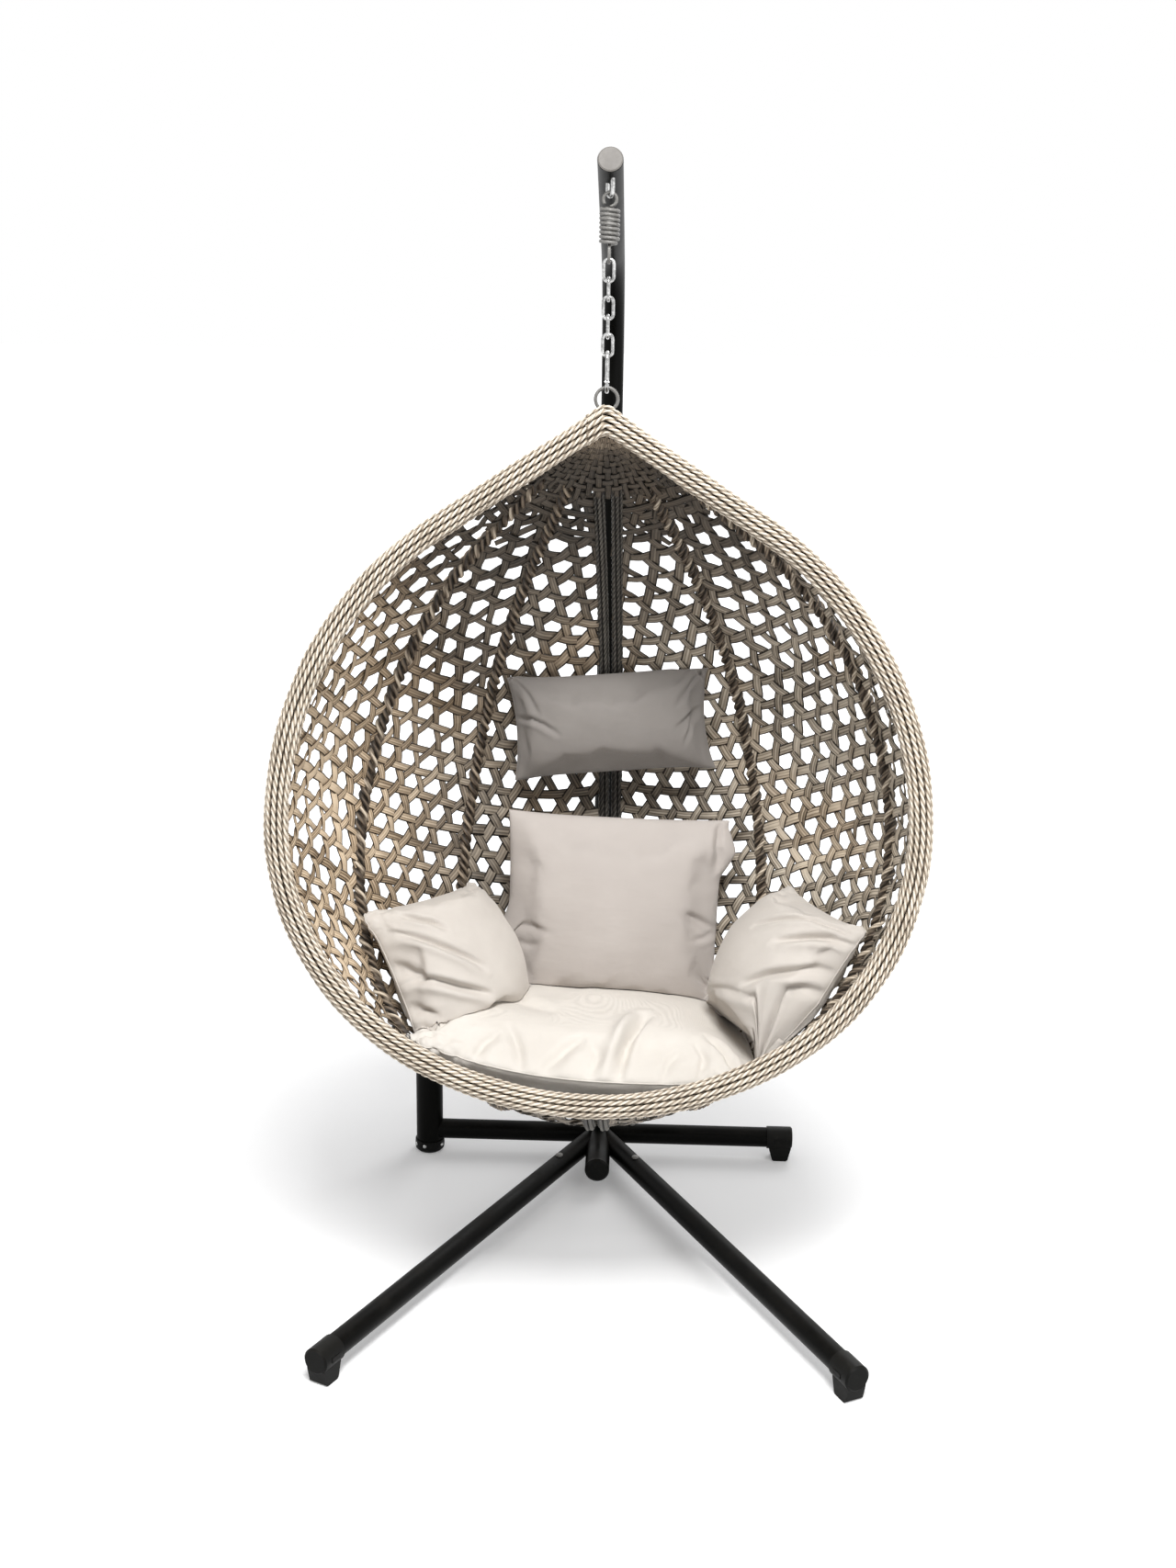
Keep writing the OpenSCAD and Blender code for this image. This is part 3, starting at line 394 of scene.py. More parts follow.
len1, len2, len3 = r1 * sweep1, r2 * sweep2, r3 * used3
skin_len = shoulder_len + len1 + len2 + len3
half_len = shoulder_len + len1 + len2 + r3 * sweep3


def place(across, down, behind):
    """A point of the model, in metres, from millimetres across, down and behind the rim's plane."""
    return (rim_tip + np.stack([across, behind * math.cos(LEAN) - down * math.sin(LEAN),
                                -down * math.cos(LEAN) - behind * math.sin(LEAN)], -1)) / 1000


def rim_at(l):
    """[across, down] of the half rim's axis at a length l from the tip, in millimetres."""
    l = np.asarray(l, float)
    a1 = sweep1 - (l - shoulder_len) / r1
    a2 = (l - shoulder_len - len1) / r2
    a3 = sweep2 + (l - shoulder_len - len1 - len2) / r3
    choose = [l < shoulder_len, l < shoulder_len + len1, l < shoulder_len + len1 + len2]
    return np.stack([
        np.select(choose, [l * math.cos(SLOPE), a_r - r1 + r1 * np.cos(a1), a_r - r2 + r2 * np.cos(a2)],
                  r3 * np.cos(a3)),
        np.select(choose, [tip_d + l * math.sin(SLOPE), WIDE_AT - r1 * np.sin(a1), WIDE_AT + r2 * np.sin(a2)],
                  arc3_c + r3 * np.sin(a3))], -1)


def cubic(p, u):
    p = np.array(p, float)
    return (1 - u) ** 3 * p[0] + 3 * u * (1 - u) ** 2 * p[1] + 3 * u * u * (1 - u) * p[2] + u ** 3 * p[3]


def spine_at(s):
    """[down, behind] of the spine at a share s of its way from the tip to the rim's foot."""
    s = np.asarray(s, float)[..., None]
    upper = (tip_d, 0), (150, 0.34 * DEPTH), (400, DEPTH), (690, DEPTH)
    lower = (690, DEPTH), (930, DEPTH), (1330, 0.62 * DEPTH), (WIDE_AT + b_r, 0)
    return np.where(s < 0.5, cubic(upper, 2 * s), cubic(lower, 2 * s - 1))


def skin(b, s):
    """The surface, in metres: b runs from the left rim (0) over the spine (90) to the right rim (180)."""
    b = np.radians(np.asarray(b, float))
    r, p = rim_at(np.asarray(s) * skin_len), spine_at(s)
    return place(-r[..., 0] * np.cos(b), r[..., 1] + (p[..., 0] - r[..., 1]) * np.sin(b) ** 2,
                 p[..., 1] * np.sin(b))


def inward(b, s, db=0.6, ds=0.004, edge=0.006):
    """The surface's unit normal, towards the sitter."""
    s = np.clip(s, edge, 1 - edge)
    return unit(np.cross(skin(b, s + ds) - skin(b, s - ds), skin(b + db, s) - skin(b - db, s)))


# ---------------------------------------------------------------- basket: rim rope
# Eleven cords of twisted cream strip lie side by side along the steel hoop and hide
# it. Each is laid from three strands and runs once round, and its start bends over
# its end at the tip.
STRANDS, LEADS_APART, TWIST_APART = 3, 100, 1.7


def cord_rings(centre, radial, sideways, radius, lead, phase, lobes=STRANDS, depth=0.2, around=12):
    """Rings of a laid cord: its lobed outline turns once in every lead, in metres."""
    run = np.concatenate([[0], np.cumsum(np.linalg.norm(np.diff(centre, axis=0), axis=1))])
    turn = phase + 2 * math.pi * run / lead
    a = np.arange(around) * 2 * math.pi / around
    r = radius * (1 - depth + depth * np.cos(lobes * (a[None, :] - turn[:, None])))
    return (centre[:, None, :] + (r * np.cos(a))[..., None] * radial[:, None, :]
            + (r * np.sin(a))[..., None] * sideways[:, None, :])


def own_tone(w, number):
    """A random tone of its own for each whole number."""
    return w.node("TexWhiteNoise", {"noise_dimensions": "1D"}, {"W": w.math("FLOOR", number)}, out="Value")


def rope_finish(name, pale, mid, dark, lead):
    """Twisted strip, with a painted highlight on the crown of each strand and painted shade in the lay and
    beside the next cord.
    """
    made, principled, w = finish(name, Specular_IOR_Level=0.35)
    around = w.node("SeparateXYZ", {}, {"Vector": w.node("UVMap", {"uv_map": "along"})})
    along = around.beside("Y")
    laid = around - along / lead
    # Painted highlight and shade: pale on each strand's crown, dark in the lay between strands; the same wave
    # also shapes the bump.
    lay = w.math("COSINE", laid * (2 * math.pi * STRANDS)) * 0.5 + 0.5
    # Painted shade along both sides of each cord, where it lies against the next one.
    cord_gap_shade = w.math("ABSOLUTE", w.math("SINE", around * (2 * math.pi))).steep(0.72, 1.0)
    own = own_tone(w, along / (LEADS_APART * lead))
    streak = noise(w, w.node("CombineXYZ", {}, {"X": laid * 14.0, "Y": along * 18.0}), 3.0, 4)
    patchy = noise(w, object_place(w), 26, 4)
    tone = ((lay * 0.56 + streak * 0.72 + patchy * 0.46 + own * 0.22) - 0.42).clamped() * (1 - cord_gap_shade * 0.6)
    feed(principled,
         Base_Color=w.node("ValToRGB", {"stops": [(0.12, dark), (0.5, mid), (0.86, pale)]}, {"Fac": tone}),
         Roughness=0.62 - streak * 0.15,
         Normal=bump(w, streak * 0.7 + lay * 0.3, 0.0006, 0.7))
    return made


CORDS, CORD_R, RING_R, LEAD = 11, 4.45, 15.6, 0.042
FIRST_CORD, TIP_OVER, OVER_LIFT, BEND_HALF, BEND_ROUNDS = 0.35, 34, 1.8, 30, 11
cream_rope = rope_finish("cream twisted strip", (0.82, 0.74, 0.63), (0.44, 0.365, 0.278),
                         (0.08, 0.06, 0.042), LEAD)
strands, starts = [], []
for j in range(CORDS):
    angle = 2 * math.pi * (j + FIRST_CORD) / CORDS
    out, back = RING_R * math.cos(angle), RING_R * math.sin(angle)
    corner = -out * math.tan(SLOPE)
    run = np.arange(corner - TIP_OVER, 2 * half_len - corner, 3.0)
    right = (run >= corner) & (run <= half_len)
    l = np.where(run < corner, 2 * corner - run, np.where(run > half_len, 2 * half_len - run, run))
    side = np.where(right, 1, -1)
    flat = rim_at(l)
    ahead = unit(rim_at(l + 0.5) - rim_at(l - 0.5))
    outer = np.stack([ahead[:, 1], -ahead[:, 0]], -1)
    sway = 0.5 * np.sin(run / 61.0 + 2.1 * j) + 0.4 * np.sin(run / 23.0 + 1.3 * j)
    over = OVER_LIFT * np.clip(1 - (run - corner) / BEND_HALF, 0, 1)
    line2 = flat + outer * (out + (sway + over) * math.cos(angle))[:, None]
    line = place(side * line2[:, 0], line2[:, 1], back + (sway + over) * math.sin(angle))
    bend = np.flatnonzero(np.abs(run - corner) < BEND_HALF)
    bend = bend[bend > 0]
    out3 = unit(place(side * outer[:, 0], outer[:, 1], 0 * l) - rim_tip / 1000)
    back3 = unit(place(0 * l, 0 * l, 1 + 0 * l) - rim_tip / 1000)
    for _ in range(BEND_ROUNDS):
        line[bend] = (line[bend - 1] + 2 * line[bend] + line[bend + 1]) / 4
        out3[bend] = unit(out3[bend - 1] + 2 * out3[bend] + out3[bend + 1])
    radial = out3 * math.cos(angle) + back3 * math.sin(angle)
    sideways = -out3 * math.sin(angle) + back3 * math.cos(angle)
    strands.append(cord_rings(line, radial, sideways, CORD_R / 1000, LEAD, TWIST_APART * j))
    starts.append(LEAD * (TWIST_APART * j / (2 * math.pi) + LEADS_APART * j))
rim = skein("rim_cords", strands, cream_rope, starts)
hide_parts("rim_rope")
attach(rim, "basket")


# ---------------------------------------------------------------- basket: ribs
# Steel rods welded from the crown to the rim's foot. The two spine ribs are
# covered lengthwise with grey twisted cord; each side rib is bound by one pale
# and two brown cords that wind round it, and the woven strips end at it.
LEFT_OUTER_B, LEFT_INNER_B, SPINE_B, RIGHT_INNER_B, RIGHT_OUTER_B = 34.5, 60, 91.5, 125, 162
SPINE_RIB_R, SIDE_RIB_R, SPINE_HALF, SPINE_LEAD, SIDE_LEAD, WIND = 10.5, 12, 12, 0.036, 0.07, 0.048
RIB_TWIST_APART = 1.9
half_rim = rim_at(np.arange(0, half_len, 4.0))
rim_run = place(half_rim[:, 0], half_rim[:, 1], 0 * half_rim[:, 0]) * 1000


def to_rim(p):
    """Distance in millimetres from points to the rim's axis."""
    q = p * 1000
    q = np.stack([np.abs(q[..., 0]), q[..., 1], q[..., 2]], -1)
    return np.linalg.norm(q[..., None, :] - rim_run, axis=-1).min(-1)


def foot_s(b, far):
    """The last share s at which the surface is still this far from the rim's axis."""
    s = np.arange(0.992, 0.8, -0.0015)
    clear = to_rim(skin(b, s)) >= far
    return s[np.argmax(clear)]


def rib_line(b, s0, radius, side=0):
    """A rib's axis and its normals; a spine rib stands off to its side, most at the top."""
    s = np.arange(s0, foot_s(b, BUNDLE_R + radius + 0.2), 0.002)
    line = skin(b, s)
    line[:, 0] += side * SPINE_HALF * (1 + 0.5 * np.maximum(0, 1 - s / 0.4) ** 2) / 1000
    return line, inward(b, s)


def bundle(line, normal, count, ring_r, cord_r, lead, phase, wind, only=None, **shape):
    """Cords laid round a line; wind turns the whole bundle by so many radians a metre."""
    along = unit(np.gradient(line, axis=0))
    across = unit(np.cross(along, normal))
    up = np.cross(across, along)
    run = np.concatenate([[0], np.cumsum(np.linalg.norm(np.diff(line, axis=0), axis=1))])
    made, starts = [], []
    for j in (range(count) if only is None else only):
        a = (2 * math.pi * j / count + phase + wind * run)[:, None]
        radial = across * np.cos(a) + up * np.sin(a)
        twist = RIB_TWIST_APART * j
        made.append(cord_rings(line + radial * ring_r, radial, np.cross(along, radial), cord_r, lead,
                               twist, **shape))
        starts.append(lead * (twist / (2 * math.pi) + LEADS_APART * j))
    return made, starts


grey_rope = rope_finish("grey twisted strip", (0.135, 0.125, 0.108), (0.055, 0.05, 0.043),
                        (0.008, 0.007, 0.006), SPINE_LEAD)
brown_rope = rope_finish("brown twisted strip", (0.20, 0.155, 0.11), (0.085, 0.062, 0.043),
                         (0.012, 0.009, 0.006), SIDE_LEAD)
pale_rope = rope_finish("pale binding cord", (0.66, 0.57, 0.45), (0.40, 0.33, 0.25),
                        (0.07, 0.05, 0.034), SIDE_LEAD)
tan_rope = rope_finish("tan binding cord", (0.36, 0.29, 0.21), (0.21, 0.165, 0.12),
                       (0.035, 0.026, 0.018), SIDE_LEAD)
for name, side in (("left_spine_rib", -1), ("right_spine_rib", 1)):
    line, normal = rib_line(SPINE_B, 0.055, SPINE_RIB_R, side)
    cords, starts = bundle(line, normal, 6, 0.0066, 0.0039, SPINE_LEAD, 0.5 * side, 1.0)
    piece = skein(name + "_cords", cords, grey_rope, starts)
    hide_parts(name)
    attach(piece, "basket")
for name, b, s0, binding, wind in (("left_outer_rib", LEFT_OUTER_B, 0.062, pale_rope, 1),
                                   ("left_inner_rib", LEFT_INNER_B, 0.076, tan_rope, 1),
                                   ("right_inner_rib", RIGHT_INNER_B, 0.076, pale_rope, -1),
                                   ("right_outer_rib", RIGHT_OUTER_B, 0.094, pale_rope, -1)):
    line, normal = rib_line(b, s0, SIDE_RIB_R)
    turning = (SIDE_LEAD, 0.3, wind * 2 * math.pi / WIND)
    shape = dict(lobes=5, depth=0.07, around=14)
    cords, starts = bundle(line, normal, 3, 0.0055, 0.0062, *turning, only=(1, 2), **shape)
    piece = skein(name + "_core", cords, brown_rope, starts)
    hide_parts(name)
    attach(piece, "basket")
    cords, starts = bundle(line, normal, 3, 0.0060, 0.0060, *turning, only=(0,), **shape)
    wound = skein(name + "_binding", cords, binding, starts)
    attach(wound, "basket")

# ---------------------------------------------------------------- basket: open weave
# Flat ribbed strip in three directions, a turn of 60 degrees apart: each runs over
# the next and under the last, which leaves six-sided holes. Every panel between
# two ribs is woven on its own, with rows that lean a little as they are pulled.
STRIP_W, STRIP_T, RISE, ROW_STEP, ROW_CLOSER = 15.6, 2.2, 1.9, 44.5, 3.0
SHORTEST_RUN, STRIP_STEP, SPINE_OPEN = 16, 5.5, 0.0095
# A panel's sides, the lean of its rows above and below, its top and foot, and its strips' share of STRIP_W.
panels = [
    ("left_front_weave", 0, LEFT_OUTER_B, 9, 7, 0.05, 0.975, 1.0),
    ("left_side_weave", LEFT_OUTER_B, LEFT_INNER_B, 0, -9, 0.05, 0.99, 1.04),
    ("left_back_weave", LEFT_INNER_B, SPINE_B, 2, -13, 0.05, 0.99, 1.14),
    ("right_back_weave", SPINE_B, RIGHT_INNER_B, -1, 15, 0.05, 0.99, 1.07),
    ("right_side_weave", RIGHT_INNER_B, RIGHT_OUTER_B, 3, 8, 0.06, 0.99, 1.07),
    ("right_front_weave", RIGHT_OUTER_B, 180, -2, -2, 0.1, 0.95, 1.0)]
rng = np.random.default_rng(11)
# The strip's outline, a flat rib with rounded edges, one wide and one thick.
section = np.array([(-1, 0), (-0.6, 0.85), (-0.2, 1), (0.2, 1), (0.6, 0.85),
                    (1, 0), (0.6, -0.85), (0.2, -1), (-0.2, -1), (-0.6, -0.85)]) / 2


def smooth(x, low, high):
    x = np.clip((x - low) / (high - low), 0, 1)
    return x * x * (3 - 2 * x)


def woven_fields(b0, b1, lean_above, lean_below, db=0.2, ds=0.002):
    """A function of the surface: its three values' whole steps are the lines of one panel's strips."""
    b, s = np.meshgrid(np.linspace(b0 - 1, b1 + 1, 25), np.linspace(0.02, 0.995, 90))
    by_b = (skin(b + db, s) - skin(b - db, s)) * (1000 / (2 * db))
    by_s = (skin(b, s + ds) - skin(b, s - ds)) * (1000 / (2 * ds))
    row = unit(by_b)
    down = unit(by_s - row * (by_s * row).sum(-1, keepdims=True))
    below = smooth(s, 0.3, 0.5)
    lean = np.radians(lean_above + (lean_below - lean_above) * below)[..., None]
    step = ROW_STEP - ROW_CLOSER * below
    along, over = row * np.cos(lean) + down * np.sin(lean), down * np.cos(lean) - row * np.sin(lean)
    middle, half = (b0 + b1) / 2, (b1 - b0) / 2
    powers = [(i, j) for i in range(4) for j in range(7)]

    def basis(b, s):
        x, y = (b - middle) / half, (s - 0.5) / 0.5
        return np.stack([x ** i * y ** j for i, j in powers], -1)

    def slopes(b, s):
        x, y = (b - middle) / half, (s - 0.5) / 0.5
        return (np.stack([i * x ** max(i - 1, 0) * y ** j / half for i, j in powers], -1),
                np.stack([x ** i * j * y ** max(j - 1, 0) / 0.5 for i, j in powers], -1))

    slope_b, slope_s = slopes(b, s)
    size_b, size_s = np.linalg.norm(by_b, axis=-1), np.linalg.norm(by_s, axis=-1)
    weight = np.sqrt(np.maximum(size_b, 0.3))
    rows = np.concatenate([(slope_b * (weight / size_b)[..., None]).reshape(-1, len(powers)),
                           (slope_s * (weight / size_s)[..., None]).reshape(-1, len(powers))])
    found = []
    for goal in (over, along):
        want = np.concatenate([((goal * by_b).sum(-1) / step * weight / size_b).ravel(),
                               ((goal * by_s).sum(-1) / step * weight / size_s).ravel()])
        found.append(np.linalg.lstsq(rows, want, rcond=None)[0])

    def fields(b, s):
        terms = basis(b, s)
        f, g = terms @ found[0], terms @ found[1] * math.sqrt(3) / 2
        return f, -f / 2 + g, -f / 2 - g

    return fields


def crossings(level, rows, grid):
    """Where each row of rising values reaches a level, read off the grid; nan where it doesn't."""
    return np.array([np.interp(level, row, grid, left=np.nan, right=np.nan) for row in rows])


def level_lines(fields, family, offset, b0, b1, s0, s1):
    """Places (b, s) and run along each line of one family in a panel, at even steps."""
    grid_b, grid_s = np.linspace(b0, b1, 60), np.linspace(s0, s1, 400)
    values = fields(*np.meshgrid(grid_b, grid_s))[family]
    for n in range(math.floor(values.min()) - 1, math.ceil(values.max()) + 1):
        level = n + offset + rng.uniform(-0.05, 0.05)
        if family == 0:
            b, s = grid_b, crossings(level, values.T, grid_s)
        else:
            flip = 1 if family == 1 else -1
            b, s = crossings(level, values[:, ::flip], grid_b[::flip]), grid_s
        good = np.isfinite(b) & np.isfinite(s)
        b, s = b[good], s[good]
        if len(b) < 3:
            continue
        run = np.concatenate([[0], np.cumsum(np.linalg.norm(np.diff(skin(b, s) * 1000, axis=0), axis=1))])
        if run[-1] > SHORTEST_RUN:
            even = np.linspace(0, run[-1], max(4, int(run[-1] / STRIP_STEP)))
            yield np.interp(even, run, b), np.interp(even, run, s), even


def strip_rings(b, s, even, lift, width, thick=STRIP_T, stray=1.0):
    """Rings of one strip along (b, s), lifted off the surface, with a hand weaver's unevenness."""
    phase = rng.uniform(0, 2 * math.pi, 4)
    sway = stray * (2.3 * np.sin(even / 97 + phase[0]) + 1.5 * np.sin(even / 38 + phase[1]))
    twist = 0.16 * stray * np.sin(even / 66 + phase[2])
    centre = skin(b, s) * 1000
    normal = inward(b, s)
    ahead = unit(np.gradient(centre, axis=0))
    across = unit(np.cross(ahead, normal))
    normal = np.cross(across, ahead)
    side = across * np.cos(twist)[:, None] + normal * np.sin(twist)[:, None]
    up = np.cross(side, ahead)
    wide = width * rng.uniform(0.84, 1.12) * (1 + 0.08 * np.sin(even / 90 + phase[3]))
    middle = centre + across * sway[:, None] + normal * lift[:, None]
    return (middle[:, None, :] + (wide[:, None] * section[None, :, 0])[..., None] * side[:, None, :]
            + (thick * section[:, 1])[None, :, None] * up[:, None, :]) / 1000


def runs_of(keep):
    """First and last places of each unbroken run of more than two kept ones."""
    cuts = np.flatnonzero(np.diff(np.concatenate([[0], keep.astype(int), [0]])))
    return [(a, b) for a, b in zip(cuts[::2], cuts[1::2]) if b - a > 2]


taupe_strip, shader, wire = finish("ribbed taupe strip", Specular_IOR_Level=0.4)
around = wire.node("SeparateXYZ", {}, {"Vector": wire.node("UVMap", {"uv_map": "along"})})
along = around.beside("Y")
across = wire.math("FRACT", around * 2.0) * 2.0 - 1.0
# Painted shade: each strip's tone darkens towards its side edges, where it meets or passes under the next.
edge = wire.math("ABSOLUTE", across)
spot = object_place(wire)
own = own_tone(wire, along / APART)
grain_at = wire.node("CombineXYZ", {}, {"X": around * 42.0, "Y": along * 9.0, "Z": own * 20.0})
streak = noise(wire, grain_at, 1.0, 4)
patchy = noise(wire, spot, 7, 4)
# Painted highlight and shade: the tone is lighter on the strip's ridges and darker in its grooves; the ridges
# also drive the bump.
ridges = wire.math("COSINE", across * (2 * math.pi * 1.5)) * 0.5 + 0.5
where = wire.node("SeparateXYZ", {}, {"Vector": spot})
height = where.beside("Z")
# Of these two masks, the left one picks the brown strips; the right one is painted light, brightening the
# weave by up to 30 percent beyond 0.2 m right of the middle.
left_side, painted_right_light = 1 - where.steep(-0.44, -0.20), where.steep(0.2, 0.4)
# Painted light on the lit left wall: the weave is brightened by up to 42 percent where it lies more than 0.3
# m left of the middle.
painted_left_light = 1.42 - where.steep(-0.46, -0.30) * 0.42
# Painted shade under the crown: the weave is darker from about 1.14 m up to 1.48 m, just below the tip.
painted_crown_shade = height.steep(1.14, 1.36) * (1 - height.steep(1.445, 1.48)) * 0.62
# Painted shade at the back of the basket: the weave is darker in a band about 0.13 m left of the middle.
middle = 1 - wire.math("ABSOLUTE", where + 0.13).steep(0.10, 0.32)
tone = (streak * 0.95 + patchy * 0.8 + ridges * 0.34 + own * 0.30 - 0.68).clamped()
tone = tone * (1 - edge.steep(0.5, 0.9) * 0.96) * (1 - painted_crown_shade) * (1 - middle * 0.3)
tone = tone * painted_left_light * (1 + painted_right_light * 0.3)
brown = (left_side + noise(wire, spot, 3.2, 3).steep(0.5, 0.66) * 0.55).clamped()
greys = ((0.009, 0.007, 0.005), (0.12, 0.098, 0.075), (0.29, 0.245, 0.19), (0.60, 0.53, 0.43))
browns = ((0.014, 0.009, 0.005), (0.18, 0.125, 0.075), (0.40, 0.295, 0.19), (0.70, 0.56, 0.40))
grey_tone, warm_tone = (wire.node("ValToRGB", {"stops": list(zip((0.0, 0.26, 0.50, 0.80), colours))},
                                  {"Fac": tone}) for colours in (greys, browns))
feed(shader,
     Base_Color=brown.mixed(grey_tone, warm_tone),
     Roughness=0.5 + streak * 0.15,
     Normal=bump(wire, ridges * 0.6 + streak * 0.5, 0.0005, 0.8))
for name, b0, b1, above, below, s0, s1, share in panels:
    fields = woven_fields(b0, b1, above, below)
    made = []
    # Each family's offset, the family it weaves over and under, and the side it starts on. The
    # extra strips fill the holes near the crown, in three layers.
    for family, offset, other, way in ((0, 0.0, 1, 1), (1, 0.0, 0, -1), (2, 0.5, 0, 1)):
        for extra in (0, 1):
            for b, s, even in level_lines(fields, family, offset + 0.5 * extra, b0, b1, s0, s1):
                lift = way * RISE * np.cos(2 * math.pi * fields(b, s)[other])
                extra_foot = rng.uniform(0.13, 0.21)
                keep = to_rim(skin(b, s)) > BUNDLE_R - 4
                keep &= np.abs(skin(b, s)[:, 0] - skin(SPINE_B, s)[:, 0]) > SPINE_OPEN
                if extra:
                    keep &= s < extra_foot
                    lift = lift * 0.3 - 2.4 * (family - 1)
                rings = strip_rings(b, s, even, lift, STRIP_W * share * (0.8 if extra else 1))
                made += [rings[i:j] for i, j in runs_of(keep)]
    piece = skein(name + "_strips", made, taupe_strip)
    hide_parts(name)
    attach(piece, "basket")

# ---------------------------------------------------------------- basket: crown
# Under the tip the strips are plaited close, over one and under one, into a solid
# patch that binds the heads of the ribs to the ring's lug, inside and outside.
ROW_GAP, COL_GAP, ROW_W, COL_W, PLAIT_T, PLAIT_RISE, PLAIT_STRAY = 0.0086, 8.4, 11.6, 10.8, 1.4, 1.1, 0.4
ROW_LEN, COL_LEN, CROWN_HALF_T = 200, 130, 11.5
s_rows = np.arange(0.010, 0.102, ROW_GAP)
b_cols = np.arange(16, 165, COL_GAP)
crown_strips = []


def plaited(b, s, length, layer, bob, width):
    """One strip of the crown's inside (1) or outside (-1) layer, bobbing over and under."""
    inset = layer * np.minimum(CROWN_HALF_T, 0.42 * spine_at(s)[..., 1] * np.sin(np.radians(b)))
    even = np.linspace(0, length, len(b))
    return strip_rings(b, s, even, inset + PLAIT_RISE * np.cos(math.pi * bob), width, PLAIT_T, PLAIT_STRAY)


for layer in (1, -1):
    for k, s_mid in enumerate(s_rows):
        b = np.linspace(12, 168, 110)
        s = s_mid + 0.0016 * np.sin(b / 9 + 50 * s_mid) + rng.uniform(-0.0022, 0.0022) * (b - 90) / 78
        crown_strips.append(plaited(b, s, ROW_LEN, layer, (b - b_cols[0]) / COL_GAP + k, ROW_W))
    for k, b_mid in enumerate(b_cols):
        s = np.linspace(0.008, 0.106 + rng.uniform(-0.004, 0.010), 40)
        b = b_mid + 0.9 * np.sin(s * 60 + k)
        crown_strips.append(plaited(b, s, COL_LEN, layer, (s - s_rows[0]) / ROW_GAP + k + 1, COL_W))
crown = skein("crown_strips", crown_strips, taupe_strip)
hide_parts("crown_wrap")
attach(crown, "basket")

# ---------------------------------------------------------------- cushions: how a cover is filled
# Covers of soft woven polyester: two panels seamed round the edge, turned out and
# stuffed with loose fibre. The filling swells each one, the seam gathers it a
# little, and it lies flat only where it meets the wall, the rim or a neighbour.
COLS, ROWS, WALL_T, ROPE_R, TOUCH = 60, 70, 0.0095, 0.0215, 0.0015
PRESSURE, FILLING_FRAMES, CORNER_REACH, FREE_REACH = 4.0, 20, 0.005, 0.019
CALM_FROM, CALM_OVER, LAST_PUSH, WELT_R = 0.002, 0.003, 0.005, 0.0011
wall_b, wall_s = np.meshgrid(np.linspace(2, 178, COLS), np.linspace(0.05, 0.985, ROWS))
wall_in = inward(wall_b, wall_s)
wall = skin(wall_b, wall_s) + wall_in * WALL_T
wall_cells = [(i, j) for i in range(ROWS - 1) for j in range(COLS - 1)]
wall_faces = [(i * COLS + j, i * COLS + j + 1, (i + 1) * COLS + j + 1, (i + 1) * COLS + j)
              for i, j in wall_cells]
wall_tree = BVHTree.FromPolygons([Vector(p) for p in wall.reshape(-1, 3)], wall_faces)
wall_face_in = [Vector(wall_in[cell]) for cell in wall_cells]
whole_rim = np.concatenate([rim_run * [-1, 1, 1], rim_run]) / 1000
basket_middle = np.array([0, 0.10, 0.80])


def inside_basket(points):
    """Moves points that reach the wall or the rim's rope back onto it."""
    moved = points.copy()
    for i, p in enumerate(points):
        hit, _, index, _ = wall_tree.find_nearest(Vector(p))
        if hit is not None and (Vector(p) - hit).dot(wall_face_in[index]) < 0:
            moved[i] = hit
    near = np.empty(len(moved), int)
    for part in np.array_split(np.arange(len(moved)), 12):
        near[part] = np.linalg.norm(moved[part, None, :] - whole_rim[None], axis=-1).argmin(1)
    away = moved - whole_rim[near]
    inner = unit(basket_middle - whole_rim[near])
    reach = np.linalg.norm(away, axis=1, keepdims=True) < ROPE_R
    away -= 2 * np.minimum((away * inner).sum(1, keepdims=True), 0) * inner
    return np.where(reach, whole_rim[near] + unit(away) * ROPE_R, moved)


def clear_of(points, neighbour, way):
    """Moves points that lie inside a neighbour's closed mesh out of it, along one way."""
    tree_of = BVHTree.FromPolygons([v.co for v in neighbour.data.vertices],
                                   [tuple(p.vertices) for p in neighbour.data.polygons])
    way = Vector(way).normalized()
    moved = points.copy()
    for i, p in enumerate(points):
        hit, normal, _, _ = tree_of.find_nearest(Vector(p), 0.12)
        if hit is not None and (Vector(p) - hit).dot(normal) < TOUCH:
            out, _, _, _ = tree_of.ray_cast(Vector(p), way, 0.08)
            moved[i] = hit + normal * TOUCH if out is None else out + way * TOUCH
    return moved


def pressed(points, neighbours):
    """Points moved out of the wall, the rim's rope and every neighbour, a pair of piece and way."""
    points = inside_basket(points)
    for piece, way in neighbours:
        points = clear_of(points, piece, way)
    return points


def softened(points, edges, rounds, share=0.5):
    """Averages each row with its neighbours', so that pressed places stay smooth."""
    a, b = edges[:, 0], edges[:, 1]
    count = np.bincount(np.concatenate([a, b]), minlength=len(points))[:, None]
    for _ in range(rounds):
        total = np.zeros_like(points)
        np.add.at(total, a, points[b])
        np.add.at(total, b, points[a])
        points = points * (1 - share) + total / count * share
    return points


